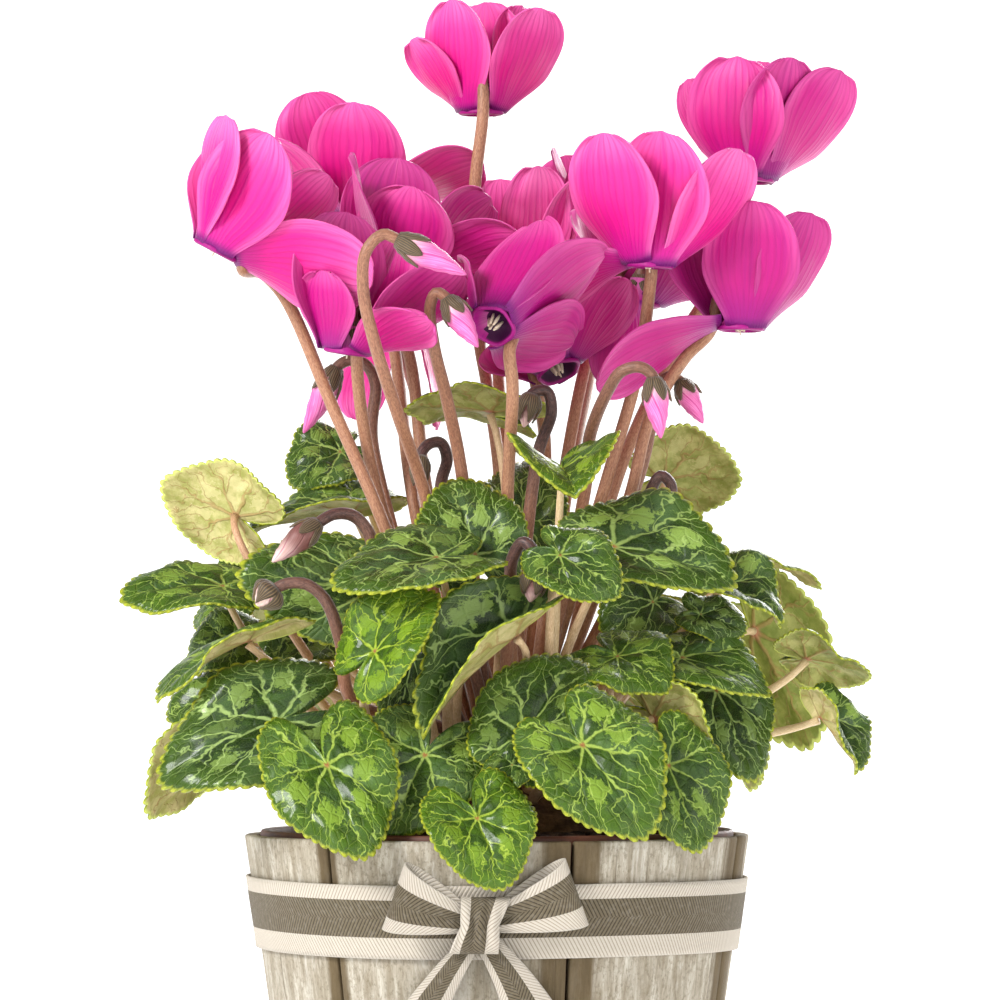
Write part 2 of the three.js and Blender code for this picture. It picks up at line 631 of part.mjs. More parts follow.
function petalSolid(frame, petal) {
  const flat = new THREE.PlaneGeometry(2, 1, 2, PETAL_LAST);
  const points = flat.getAttribute('position');
  for (let i = 0; i < points.count; i += 1) {
    const row = Math.round((points.getY(i) + 0.5) * PETAL_LAST);
    points.setY(i, PETAL_STATIONS[row] - (row === PETAL_LAST ? 0.06 * points.getX(i) ** 2 : 0));
  }
  return solidOf(thicken(flat, sheetFaces(petalSurface(frame, petal), BLADE_THICKNESS, 0.01, 0.005)));
}

function lathe(profile, segments) {
  return new THREE.LatheGeometry(profile.map(([r, z]) => new THREE.Vector2(r, z)), segments);
}

// Turns a lathe about +Y into one whose axis runs along the given direction from a point.
function stand(geometry, from, direction) {
  const turn = new THREE.Quaternion().setFromUnitVectors(new THREE.Vector3(0, 1, 0), direction);
  return geometry.applyQuaternion(turn).translate(from.x, from.y, from.z);
}

// The short tube below the calyx, dished at its mouth, with a thick rim that the petals are sunk in.
function tubeSolid(frame) {
  const profile = [[0, 3], [5, 0], [MOUTH_RADIUS + 1.2, 0.6], [3.6, 4.4], [3.2, TUBE_LENGTH], [0, TUBE_LENGTH]];
  return solidOf(stand(lathe(profile, 6), frame.centre, frame.up));
}

// A bloom's stem rises outside its mouth, passes in between two petals, and hooks over to the calyx.
function hookPoints(frame, side) {
  const turn = radians(side);
  return [
    frame.at(turn, MOUTH_RADIUS + 3, 0),
    frame.at(turn, MOUTH_RADIUS + 0.5, TUBE_LENGTH + 2),
    frame.at(turn, 3, TUBE_LENGTH + 6.5),
    frame.at(turn, 0, TUBE_LENGTH + 5),
    frame.at(turn, 0, TUBE_LENGTH + 0.45),
  ];
}

function bloomStemCurve(bloom, start, out) {
  const frame = bloomFrame(bloom);
  const low = start.clone().addScaledVector(out, 12);
  const way = bloom.way.map(place);
  return new THREE.CatmullRomCurve3([start, low, ...way, ...hookPoints(frame, bloom.stemSide)]);
}

// A stem's stations: even steps along its rise, closer ones over its hook, with lengths from the end.
function stemStations(curve, riseSteps, endings) {
  const length = curve.getLength();
  const rise = 1 - endings[0][0] / length;
  const low = Array.from({ length: riseSteps }, (unused, i) => [(rise * i) / riseSteps, STEM_RADIUS]);
  return [...low, ...endings.map(([fromEnd, radius]) => [1 - fromEnd / length, radius])];
}

// The last reach of a bloom's stem: its hook, and the calyx that flares over the bloom's tube.
const HOOK_STATIONS = [[34, 2], [22, 1.9], [14, 1.8], [9, 1.7], [5.5, 1.6], [3, 1.6], [0, 3.1]];

const BLOOMS = {
  bloom_left: {
    mouth: [-90.6, 326.4, -25], axis: [0.47, -0.05, 0.88], stemSide: 112,
    way: [[-35.8, 237.7, -12], [-52, 275, -8], [-67.8, 311.3, -4]],
    petals: [
      { azimuth: -85, lean: [14, 20], width: 20 },
      { azimuth: -5, lean: [8, 6], twist: 25 },
      { azimuth: 105, lean: [28, 14] },
      { azimuth: 45, lean: [62, 72], length: 43, width: 26 },
      { azimuth: 195, lean: [15, 10] },
    ],
  },
  bloom_left_open: {
    mouth: [-46.4, 338, 53], axis: [0, -0.35, 0.94], stemSide: 150,
    way: [[-26, 242, 16], [-33, 296, 46]],
    petals: [
      { azimuth: -140, lean: [25, 25], width: 28 },
      { azimuth: 8, lean: [10, -4], twist: 30 },
      { azimuth: 92, lean: [60, 72] },
      { azimuth: 48, lean: [62, 40], length: 26, width: 20 },
      { azimuth: -72, lean: [50, 42] },
    ],
  },
  bloom_left_front: {
    mouth: [-48, 293.7, -28], axis: [0.14, -0.1, 0.98], stemSide: 165,
    way: [[-36.5, 243, 0], [-43, 272, -8]],
    petals: [
      { azimuth: -60, lean: [18, 8], length: 24, width: 22 },
      { azimuth: 77, lean: [36, 44], width: 25 },
      { azimuth: 40, lean: [60, 72], length: 34, width: 20 },
      { azimuth: 150, lean: [20, 20] },
      { azimuth: -130, lean: [10, -5], length: 42 },
    ],
  },
  bloom_left_back: {
    mouth: [-34, 317, 18], axis: [0.2, 0, 0.98], stemSide: 185,
    way: [[-23, 253, 14], [-27.5, 290, 22]],
    petals: [
      { azimuth: 72, lean: [58, 66], width: 26 },
      { azimuth: 118, lean: [30, 38], width: 26 },
      { azimuth: -150, lean: [10, 5] },
      { azimuth: -60, lean: [30, 20] },
      { azimuth: 5, lean: [30, 10], length: 30 },
    ],
  },
  bloom_top: {
    mouth: [-5.1, 370.5, 50], axis: [0, -0.05, 1], stemSide: 4,
    way: [[1, 250, 24], [-3.2, 283.5, 38], [-5.8, 299, 43], [-7.2, 345, 41]],
    petals: [
      { azimuth: -88, lean: [38, 42], length: 27, width: 11 },
      { azimuth: -52, lean: [14, 2], width: 21 },
      { azimuth: 172, lean: [0, 4] },
      { azimuth: 120, lean: [22, 6], width: 26 },
      { azimuth: 66, lean: [40, 14], width: 20 },
    ],
  },
  bloom_centre: {
    mouth: [-1.6, 302.4, -42], axis: [0.33, 0.74, 0.58], stemSide: 160,
    way: [[3.4, 247, -21], [5, 283, -36]],
    petals: [
      { azimuth: -22, lean: [6, 8], width: 27, length: 42 },
      { azimuth: 52, lean: [24, 22], twist: -30, length: 42 },
      { azimuth: 118, lean: [30, 40], length: 34 },
      { azimuth: -100, lean: [30, 16], length: 24, width: 20 },
      { azimuth: -160, lean: [25, 20], length: 30 },
    ],
  },
  bloom_centre_back: {
    mouth: [9, 314, 63], axis: [0.08, 0.1, 1], stemSide: 200,
    way: [[5, 250, 38], [0.5, 290, 56]],
    petals: [
      { azimuth: 10, lean: [6, -6], width: 22 },
      { azimuth: 70, lean: [22, 12], width: 22 },
      { azimuth: -70, lean: [30, 8], width: 22 },
      { azimuth: 140, lean: [20, 10] },
      { azimuth: -140, lean: [20, 10] },
    ],
  },
  bloom_right: {
    mouth: [49, 321.3, -16], axis: [0.05, -0.05, 1], stemSide: 175,
    way: [[36, 256, 2], [45, 288, 4]],
    petals: [
      { azimuth: -52, lean: [34, 6], width: 27, length: 42 },
      { azimuth: 6, lean: [6, 8], twist: 40, length: 41 },
      { azimuth: 72, lean: [42, 16], width: 24, length: 42 },
      { azimuth: 150, lean: [20, 5] },
      { azimuth: -110, lean: [98, 122], width: 27, length: 42 },
    ],
  },
  bloom_right_back: {
    mouth: [38, 324, 95], axis: [-0.1, 0, 1], stemSide: 200,
    way: [[21.8, 246, 26], [29.8, 288, 66]],
    petals: [
      { azimuth: -75, lean: [22, 10], width: 22 },
      { azimuth: 0, lean: [10, 0] },
      { azimuth: 75, lean: [25, 10] },
      { azimuth: 140, lean: [20, 10] },
      { azimuth: -140, lean: [30, 10] },
    ],
  },
  bloom_right_top: {
    mouth: [81.6, 348.8, 34], axis: [0.04, 0, 1], stemSide: -160,
    way: [[40, 258, 22], [60, 300, 44], [78, 330, 42]],
    petals: [
      { azimuth: -32, lean: [30, -14], width: 30 },
      { azimuth: -100, lean: [44, 22], width: 18, length: 34 },
      { azimuth: 172, lean: [4, 2] },
      { azimuth: 55, lean: [12, 8], width: 20 },
      { azimuth: 96, lean: [44, 18], width: 26, length: 42 },
    ],
  },
  bloom_far_right: {
    mouth: [78, 301.1, -3], axis: [0.02, 0, 1], stemSide: -110,
    way: [[42.6, 248, 2], [49, 273, 6], [60, 292, 6]],
    petals: [
      { azimuth: 12, lean: [14, 4], width: 28 },
      { azimuth: 84, lean: [36, 22], width: 24 },
      { azimuth: 150, lean: [15, 5] },
      { azimuth: -125, lean: [24, 12] },
      { azimuth: -72, lean: [112, 128], width: 26, length: 44 },
    ],
  },
  bloom_centre_low: {
    mouth: [20, 287.5, 14], axis: [-0.35, 0.4, 0.85], stemSide: -120,
    way: [[15.5, 262, 29]],
    petals: [
      { azimuth: 70, lean: [62, 60], length: 30, width: 20 },
      { azimuth: 0, lean: [12, 20], length: 28, width: 20 },
      { azimuth: -70, lean: [30, 30], length: 26, width: 20 },
      { azimuth: 140, lean: [30, 30], length: 30 },
      { azimuth: -150, lean: [20, 20], length: 30 },
    ],
  },
  bloom_right_inner: {
    mouth: [45, 309, 34], axis: [0.1, 0, 1], stemSide: -120,
    way: [[21, 252, 24], [30.4, 297, 34]],
    petals: [
      { azimuth: 62, lean: [48, 52], length: 34 },
      { azimuth: -18, lean: [158, 172], length: 30, width: 20 },
      { azimuth: 130, lean: [20, 10], length: 32 },
      { azimuth: -90, lean: [30, 20], length: 32 },
      { azimuth: -150, lean: [20, 10], length: 32 },
    ],
  },
  bloom_low_back: {
    mouth: [-31, 299, 72], axis: [0.05, 0.1, 1], stemSide: 180,
    way: [[-22, 240, 30], [-26, 280, 60]],
    petals: [
      { azimuth: -50, lean: [150, 176], length: 32, width: 18 },
      { azimuth: 55, lean: [150, 176], length: 34, width: 18 },
      { azimuth: 120, lean: [30, 20], length: 30 },
      { azimuth: 0, lean: [20, 10], length: 30 },
      { azimuth: -120, lean: [30, 20], length: 30 },
    ],
  },
};

// Buds: a stem's way, then the calyx's neck, the bud's tip and its size.
const BUDS = {
  bud_left_tall: {
    way: [[-23, 248.3, -20], [-31.7, 273.9, -40], [-39, 296.3, -55], [-42.9, 313.9, -58],
      [-41.9, 326.7, -60], [-36.5, 332, -60]],
    neck: [-32.4, 330.6, -60], tip: [-9.9, 319, -62], size: 1.05,
  },
  bud_mid: {
    way: [[-11.2, 254.7, -16], [-16, 278.7, -28], [-20.2, 296.3, -40], [-21.4, 309.1, -46],
      [-19.4, 313.2, -48]],
    neck: [-16.4, 311.6, -49], tip: [-6.1, 295.7, -52], size: 1,
  },
  bud_left_dark: {
    way: [[-40, 266, 12], [-39, 284, 14], [-42, 290, 15], [-47, 291.5, 16]],
    neck: [-51, 289.5, 16], tip: [-62, 268.1, 14], size: 1,
  },
  bud_right: {
    way: [[28.2, 250, -6], [29.8, 267.5, -18], [36.2, 283, -30], [40, 288, -34], [46, 289.3, -36]],
    neck: [50, 286.2, -36], tip: [52.5, 266.5, -38], size: 1,
  },
  bud_right_pale: {
    way: [[46, 256, 8], [51, 278, 10], [54, 286, 10]],
    neck: [58.5, 285, 10], tip: [66, 271.3, 6], size: 0.9,
  },
  bud_left_white: {
    way: [[-38.5, 222, -33], [-41, 236, -36], [-46, 241.6, -38], [-51.8, 242.2, -41]],
    neck: [-57, 239.5, -44], tip: [-72, 226.9, -50], size: 1,
  },
  bud_left_thick: {
    way: [[-46.4, 182.7, -34], [-50.2, 201.9, -44], [-55, 214.7, -50], [-61, 219.7, -52], [-67, 220, -52]],
    neck: [-70.5, 218.5, -52], tip: [-77, 213, -53], size: 1.25,
  },
  bud_front_loop: {
    way: [[4.2, 214.7, -34], [5, 228, -45], [8.5, 233.2, -49], [12.5, 229, -51]],
    neck: [12.5, 224, -52], tip: [10.5, 214, -53], size: 0.95,
  },
  bud_dark_hook: {
    way: [[13, 261, -8], [17.5, 275, -12], [16, 281.5, -13]],
    neck: [11.5, 281, -14], tip: [8.5, 270, -14], size: 0.85,
  },
  bud_left_hook: {
    way: [[-18, 250, 3], [-16, 260, 0], [-18, 265, -3], [-22, 264.5, -6]],
    neck: [-24.5, 261, -8], tip: [-25, 250, -10], size: 0.7,
  },
  bud_right_loop: {
    way: [[47, 236, -2], [49, 249, -4], [52.5, 254.5, -5], [55.5, 252, -5]],
    neck: [56, 248.5, -5], tip: [56, 240, -5], size: 0.8,
  },
};

// A bud's stem runs on through its neck to the tip of its rolled petals.
function budCurve(bud, start, out) {
  const low = start.clone().addScaledVector(out, 12);
  const neck = place(bud.neck);
  const tip = place(bud.tip);
  const middle = neck.clone().lerp(tip, 0.5);
  return new THREE.CatmullRomCurve3([start, low, ...bud.way.map(place), neck, middle, tip]);
}

function budStations(bud, curve) {
  const length = place(bud.neck).distanceTo(place(bud.tip));
  const shape = [
    [2.5, 1.9], [1.8, 1.8], [1.35, 1.7], [1, 1.9], [0.86, 3.2 * bud.size], [0.66, 3.9 * bud.size],
    [0.3, 2.3 * bud.size], [0, 0.5],
  ];
  return stemStations(curve, STEM_STEPS, shape.map(([share, radius]) => [share * length, radius]));
}

// Each bunch is one node: its stems share one root on the tuber, as a leaf cluster's petioles do.
const STEM_BUNCHES = {
  stems_left: { root: [-110, 8], blooms: ['bloom_left', 'bloom_left_front'], buds: ['bud_left_dark'] },
  stems_left_back: {
    root: [-158, 15], blooms: ['bloom_left_open', 'bloom_left_back', 'bloom_low_back', 'bloom_top'], buds: [],
  },
  stems_front: {
    root: [0, 10], blooms: ['bloom_centre'],
    buds: ['bud_left_tall', 'bud_mid', 'bud_left_hook', 'bud_dark_hook', 'bud_front_loop'],
  },
  stems_right: {
    root: [80, 8], blooms: ['bloom_right', 'bloom_far_right'], buds: ['bud_right', 'bud_right_loop'],
  },
  stems_right_back: {
    root: [135, 15],
    blooms: ['bloom_right_top', 'bloom_right_inner', 'bloom_right_back', 'bloom_centre_back', 'bloom_centre_low'],
    buds: ['bud_right_pale'],
  },
  stems_low: { root: [-70, 14], blooms: [], buds: ['bud_left_white', 'bud_left_thick'] },
};

// Cover pot
function potRadius(height) {
  return POT_BOTTOM_RADIUS + ((POT_TOP_RADIUS - POT_BOTTOM_RADIUS) * height) / POT_HEIGHT;
}

// A point at an azimuth from the front, towards the right.
function around(azimuth, radius, height) {
  return new THREE.Vector3(radius * Math.sin(azimuth), -radius * Math.cos(azimuth), height);
}

// One curved board of the cover pot, between two azimuths.
function boardSolid(from, to) {
  const flat = new THREE.PlaneGeometry(1, 1, BOARD_COLUMNS, 1);
  return solidOf(thicken(flat, (x, y) => {
    const azimuth = from + (to - from) * (x + 0.5);
    const height = POT_HEIGHT * (y + 0.5);
    const radius = potRadius(height);
    return [around(azimuth, radius, height), around(azimuth, radius - BOARD_THICKNESS, height)];
  }));
}

function bottomBoardSolid() {
  const low = BOTTOM_BOARD_LOW;
  const high = low + BOTTOM_BOARD_THICKNESS;
  const radius = potRadius(low) - BOARD_THICKNESS - FIT - 0.3;
  return solidOf(lathe([[0, low], [radius, low], [radius + 0.5, high], [0, high]], 28).rotateX(HALF_TURN / 2));
}

function nurseryPotSolid() {
  const low = BOTTOM_BOARD_LOW + BOTTOM_BOARD_THICKNESS + FIT;
  const profile = [
    [0, low], [NURSERY_BASE_RADIUS, low], [NURSERY_RIM_RADIUS, NURSERY_RIM_HEIGHT],
    [NURSERY_RIM_RADIUS - NURSERY_WALL, NURSERY_RIM_HEIGHT], [NURSERY_BASE_RADIUS - NURSERY_WALL, low + NURSERY_WALL],
    [0, low + NURSERY_WALL],
  ];
  return solidOf(lathe(profile, 28).rotateX(HALF_TURN / 2));
}

function tuberSolid(grow) {
  const ball = new THREE.SphereGeometry(1, 20, 9);
  ball.scale(TUBER_RADIUS + grow, TUBER_HALF_HEIGHT + grow, TUBER_RADIUS + grow);
  return solidOf(ball.rotateX(HALF_TURN / 2).translate(0, 0, TUBER_CENTRE));
}

// The soil fills the nursery pot, rises a little round the tuber, and has a hollow that the tuber fits.
function soilSolid() {
  const low = BOTTOM_BOARD_LOW + BOTTOM_BOARD_THICKNESS + FIT + NURSERY_WALL + FIT;
  const wall = (height) => {
    const share = height / NURSERY_RIM_HEIGHT;
    return NURSERY_BASE_RADIUS + (NURSERY_RIM_RADIUS - NURSERY_BASE_RADIUS) * share - NURSERY_WALL - 2 * FIT;
  };
  const profile = [
    [0, low], [wall(low) - 1.2, low], [wall(SOIL_EDGE_HEIGHT) - 0.6, SOIL_EDGE_HEIGHT],
    [52, SOIL_CENTRE_HEIGHT - 0.5], [0, SOIL_CENTRE_HEIGHT],
  ];
  return solidOf(lathe(profile, 28).rotateX(HALF_TURN / 2)).subtract(tuberSolid(FIT));
}

// Ribbon: a band round the pot, and a bow of two loops, a knot and two tails
const BOW_CENTRE = new THREE.Vector3(-5.1, -83.4, 114.9);
const BOW_LOOPS = [
  { end: [-31, 123.8], width: 21 },
  { end: [24, 125.1], width: 21 },
];
const BOW_TAILS = [
  { way: [[-7, 111], [-16, 98], [-24, 84], [-28, 66], [-29, 46]], width: 17, stand: 0.2 },
  { way: [[-3, 110], [5, 98], [12, 84], [18, 66], [22, 42]], width: RIBBON_WIDTH, stand: 0.16 },
];
const LOOP_FULLNESS = 2.6;

function bandSolid() {
  const half = RIBBON_WIDTH / 2;
  const low = BAND_CENTRE_HEIGHT - half;
  const high = BAND_CENTRE_HEIGHT + half;
  const inner = (height) => potRadius(height) + FIT + 0.35;
  const profile = [
    [inner(low), low], [inner(low) + RIBBON_THICKNESS, low],
    [inner(high) + RIBBON_THICKNESS, high], [inner(high), high], [inner(low), low],
  ];
  return solidOf(lathe(profile, 36).rotateX(HALF_TURN / 2));
}

// A loop goes out from the knot in front, turns, and comes back behind, and it fans out on its way.
function loopSolid({ end, width }) {
  const flat = new THREE.PlaneGeometry(1, 2, 7, 2);
  const run = new THREE.Vector3(end[0] - BOW_CENTRE.x, 0, end[1] - BOW_CENTRE.z);
  const surface = (x, y) => {
    const turn = HALF_TURN * (x + 0.5);
    const out = Math.sin(turn);
    const half = (width / 2) * (0.3 + 0.7 * out);
    const depth = -2 * LOOP_FULLNESS * Math.cos(turn) * out + 1.2 * (1 - y * y) * out * Math.cos(turn);
    const across = new THREE.Vector3(-run.z, 0, run.x).normalize().multiplyScalar(half * y);
    return BOW_CENTRE.clone().addScaledVector(run, 0.08 + 0.92 * out).add(across)
      .add(new THREE.Vector3(0, depth, 0));
  };
  return solidOf(thicken(flat, sheetFaces(surface, RIBBON_THICKNESS, 0.004, 0.01)));
}

function tailSolid({ way, width, stand: lean }) {
  const curve = new THREE.CatmullRomCurve3(way.map(([x, z]) => new THREE.Vector3(x, 0, z)));
  const flat = new THREE.PlaneGeometry(2, 1, 2, 6);
  const surface = (x, y) => {
    const t = Math.min(Math.max(0.5 - y, 0), 1);
    const middle = curve.getPoint(t);
    const along = curve.getTangent(t);
    const half = (width / 2) * Math.min(1, 0.3 + 1.1 * t);
    const spread = new THREE.Vector3(-along.z, 0, along.x).multiplyScalar(half * x);
    const point = middle.add(spread).addScaledVector(along, (t - (0.5 - y)) * -60 + (t > 0.9 ? 3 * x : 0));
    const drop = BOW_CENTRE.z - point.z;
    const off = potRadius(point.z) + 4.4 + Math.max(0, drop) * lean * (0.7 + 0.3 * Math.cos(2.2 * x));
    point.y = -Math.sqrt(off * off - point.x * point.x);
    return point;
  };
  return solidOf(thicken(flat, sheetFaces(surface, RIBBON_THICKNESS, 0.01, 0.004)));
}

function bowSolid() {
  const knot = new THREE.SphereGeometry(1, 8, 6).scale(7.6, 4.9, 8.6);
  knot.translate(BOW_CENTRE.x, BOW_CENTRE.y, BOW_CENTRE.z);
  return fuse([solidOf(knot), ...BOW_LOOPS.map(loopSolid), ...BOW_TAILS.map(tailSolid)]);
}

// Assembly
const WOOD = { color: 0xc9c1b0, roughness: 0.85 };
const RIBBON_CLOTH = { color: 0xa79c88, roughness: 0.9 };
const TERRACOTTA_PLASTIC = { color: 0x8a4a30, roughness: 0.55 };
const EARTH = { color: 0x3a2a20, roughness: 1 };
const TUBER_SKIN = { color: 0x5a4030, roughness: 0.95 };
const LEAF_GREEN = { color: 0x4f7a2c, roughness: 0.5 };
const STEM_BROWN = { color: 0xb07050, roughness: 0.55 };
const PETAL_MAGENTA = { color: 0xe0208c, roughness: 0.5 };

const cyclamen = new THREE.Group();

function addPiece(name, solid, finish) {
  const mesh = new THREE.Mesh(geometryOf(solid), new THREE.MeshStandardMaterial({ metalness: 0, ...finish }));
  mesh.name = name;
  cyclamen.add(mesh);
}

function addCoverPot() {
  addPiece('pot_bottom_board', bottomBoardSolid(), WOOD);
  BOARD_JOINTS.forEach((joint, i) => {
    const next = i + 1 < BOARD_JOINTS.length ? BOARD_JOINTS[i + 1] : BOARD_JOINTS[0] + 360;
    const gap = BOARD_JOINT_WIDTH / 2 / POT_BOTTOM_RADIUS;
    addPiece(`pot_board_${i + 1}`, boardSolid(radians(joint) + gap, radians(next) - gap), WOOD);
  });
  addPiece('ribbon_band', bandSolid(), RIBBON_CLOTH);
  addPiece('ribbon_bow', bowSolid(), RIBBON_CLOTH);
}

function addRootBall() {
  addPiece('nursery_pot', nurseryPotSolid(), TERRACOTTA_PLASTIC);
  addPiece('soil', soilSolid(), EARTH);
  addPiece('tuber', tuberSolid(0), TUBER_SKIN);
}

function addLeaves(bases) {
  Object.entries(LEAF_CLUSTERS).forEach(([name, { leaves }], i) => {
    const base = bases[i];
    const starts = rodStarts(base, leaves.map((leaf) => place(leaf.joint)));
    const petioles = leaves.map((leaf, k) => petioleRings(leaf, starts[k], base.out));
    const body = new Body();
    const roots = addStub(body, base, petioles.map(({ rings }) => rings[0]));
    leaves.forEach((leaf, k) => addLeaf(body, leaf, roots[k], petioles[k]));
    addPiece(name, body.solid(), LEAF_GREEN);
  });
}

// A bloom, with room for its own stem where that passes its petals.
function addBloom(name, bloom, curve, stations) {
  const frame = bloomFrame(bloom);
  const room = new Body();
  const rings = rodRings(curve, STEM_SIDES, stations.map(([share, radius]) => [share, radius + FIT + 0.1]));
  const first = room.addRing(rings[0]);
  room.addEnd([...first].reverse());
  room.addEnd(room.addRod(first, rings));
  const petals = bloom.petals.map((petal) => petalSolid(frame, petal));
  const whole = fuse([tubeSolid(frame), ...petals]).subtract(room.solid());
  addPiece(name, largestOf(whole), PETAL_MAGENTA);
}

function addStemsAndBlooms(bases) {
  Object.entries(STEM_BUNCHES).forEach(([name, { blooms, buds }], i) => {
    const base = bases[i];
    const targets = [
      ...blooms.map((bloomName) => place(BLOOMS[bloomName].way[0])),
      ...buds.map((budName) => place(BUDS[budName].way[0])),
    ];
    const starts = rodStarts(base, targets);
    const stems = [
      ...blooms.map((bloomName, k) => {
        const curve = bloomStemCurve(BLOOMS[bloomName], starts[k], base.out);
        const stations = stemStations(curve, STEM_STEPS, HOOK_STATIONS);
        addBloom(bloomName, BLOOMS[bloomName], curve, stations);
        return rodRings(curve, STEM_SIDES, stations);
      }),
      ...buds.map((budName, k) => {
        const bud = BUDS[budName];
        const curve = budCurve(bud, starts[blooms.length + k], base.out);
        return rodRings(curve, STEM_SIDES, budStations(bud, curve));
      }),
    ];
    const body = new Body();
    const roots = addStub(body, base, stems.map((rings) => rings[0]));
    stems.forEach((rings, k) => body.addEnd(body.addRod(roots[k], rings)));
    addPiece(name, body.solid(), STEM_BROWN);
  });
}

function addPlant() {
  const clusters = Object.values(LEAF_CLUSTERS).map(({ root, leaves }) => ({ root, count: leaves.length }));
  const bunches = Object.values(STEM_BUNCHES).map(({ root, blooms, buds }) => (
    { root, count: blooms.length + buds.length }));
  const bases = spreadRoots([...clusters, ...bunches]);
  addLeaves(bases.slice(0, clusters.length));
  addStemsAndBlooms(bases.slice(clusters.length));
}

addCoverPot();
addRootBall();
addPlant();

export default cyclamen;
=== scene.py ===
# A potted cyclamen: patterned leaves, magenta blooms and buds on brown stems round a tuber, in a thin
# nursery pot, inside a whitewashed wooden cover pot with a woven ribbon and a bow.
# Places are in millimetres, as the solids' are, and MM turns them into metres.
import json
import math
import random

import bmesh
import bpy
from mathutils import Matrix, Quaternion, Vector, noise

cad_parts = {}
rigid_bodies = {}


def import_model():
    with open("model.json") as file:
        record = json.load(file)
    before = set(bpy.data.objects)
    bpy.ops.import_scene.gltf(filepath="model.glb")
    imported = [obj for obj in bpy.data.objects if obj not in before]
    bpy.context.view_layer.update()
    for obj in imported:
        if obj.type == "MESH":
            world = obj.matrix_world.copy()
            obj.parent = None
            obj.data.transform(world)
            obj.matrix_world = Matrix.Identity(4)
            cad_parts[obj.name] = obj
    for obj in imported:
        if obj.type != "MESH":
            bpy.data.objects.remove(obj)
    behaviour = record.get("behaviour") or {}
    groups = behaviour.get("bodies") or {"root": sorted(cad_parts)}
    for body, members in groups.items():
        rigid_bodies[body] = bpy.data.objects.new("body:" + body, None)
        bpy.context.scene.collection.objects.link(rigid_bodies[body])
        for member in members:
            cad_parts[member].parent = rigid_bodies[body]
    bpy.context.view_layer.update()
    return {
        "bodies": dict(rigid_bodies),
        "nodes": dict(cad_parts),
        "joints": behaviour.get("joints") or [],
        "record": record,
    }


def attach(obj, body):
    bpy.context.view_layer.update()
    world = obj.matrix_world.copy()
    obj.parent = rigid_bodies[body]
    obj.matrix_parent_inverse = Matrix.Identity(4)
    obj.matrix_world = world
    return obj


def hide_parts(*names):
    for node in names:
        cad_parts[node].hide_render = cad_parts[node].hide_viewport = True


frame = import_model()

MM = 0.001
HALF_TURN = math.pi
TURN = 2 * math.pi

# Where someone stands who sees the plant as its places are written below
EYE = Vector((0.96, -1600, 190))
LOOK_AT = Vector((0.96, 0, 246.7))
LENS = 180
SENSOR = 36

# Cover pot
POT_HEIGHT = 140
POT_TOP_RADIUS = 80.5
POT_BOTTOM_RADIUS = 60.5
BOARD_THICKNESS = 4
BOARD_JOINTS = [-41, 17, 72, 132, 194, 256]
BOARD_JOINT_SHADE = [3, 7.5, 8, 5, 7, 4]
BOARD_JOINT_WIDTH = 0.8

# Nursery pot, soil and tuber
NURSERY_RIM_RADIUS = 75.2
NURSERY_RIM_HEIGHT = 141.6
NURSERY_BASE_RADIUS = 52
NURSERY_WALL = 1.6
NURSERY_LOW = 6.3
SOIL_EDGE_HEIGHT = 137
SOIL_CENTRE_HEIGHT = 141.5
FIT = 0.3
TUBER_RADIUS = 36
TUBER_HALF_HEIGHT = 17
TUBER_CENTRE = 141

# Leaves, stems and flowers
BLADE_THICKNESS = 0.6
PETIOLE_RADIUS = 1.8
PETIOLE_SEAT = 1.0
STEM_RADIUS = 2
MOUTH_RADIUS = 7
TUBE_LENGTH = 9
PETAL_LENGTH = 39
PETAL_WIDTH = 30
PETAL_TWIST = 28
PETAL_THICKNESS = 0.55
PETAL_SEAT = 0.9

# Ribbon
RIBBON_WIDTH = 22.5
RIBBON_THICKNESS = 0.7
BAND_CENTRE_HEIGHT = 115.5

random.seed(7)


def smooth(low, high, value):
    share = min(max((value - low) / (high - low), 0), 1)
    return share * share * (3 - 2 * share)


# A place is written as it shows in the plane through the pot's axis, with its depth behind that
# plane as the third value: it lies on the line from the eye, at that depth.
def place(spot):
    x, z, depth = spot
    along = (depth - EYE.y) / -EYE.y
    return Vector((EYE.x + (x - EYE.x) * along, depth, EYE.z + (z - EYE.z) * along))


# Paths


class Path:
    """A smooth line through many points, read by the share of its length."""

    def __init__(self, points):
        self.points = points
        self.marks = [0]
        for one, other in zip(points, points[1:]):
            self.marks.append(self.marks[-1] + (other - one).length)
        self.length = self.marks[-1]

    def at(self, share):
        want = min(max(share, 0), 1) * self.length
        low, high = 0, len(self.marks) - 1
        while high - low > 1:
            middle = (low + high) // 2
            if self.marks[middle] <= want:
                low = middle
            else:
                high = middle
        step = self.marks[high] - self.marks[low]
        rest = (want - self.marks[low]) / step if step else 0
        tangent = (self.points[high] - self.points[low]).normalized()
        return self.points[low].lerp(self.points[high], rest), tangent


def catmull_path(points, steps=40):
    """The centripetal spline through the points, which the solids' stems follow too."""
    first = points[0] * 2 - points[1]
    last = points[-1] * 2 - points[-2]
    spots = [first, *points, last]
    out = []
    for i in range(1, len(spots) - 2):
        p0, p1, p2, p3 = spots[i - 1:i + 3]
        gaps = [max((b - a).length ** 0.5, 1e-3) for a, b in ((p0, p1), (p1, p2), (p2, p3))]
        start = ((p1 - p0) / gaps[0] - (p2 - p0) / (gaps[0] + gaps[1]) + (p2 - p1) / gaps[1]) * gaps[1]
        end = ((p2 - p1) / gaps[1] - (p3 - p1) / (gaps[1] + gaps[2]) + (p3 - p2) / gaps[2]) * gaps[1]
        for k in range(steps):
            t = k / steps
            cube = p1 * (2 * t**3 - 3 * t**2 + 1) + p2 * (3 * t**2 - 2 * t**3)
            out.append(cube + start * (t**3 - 2 * t**2 + t) + end * (t**3 - t**2))
    return Path([*out, points[-1]])


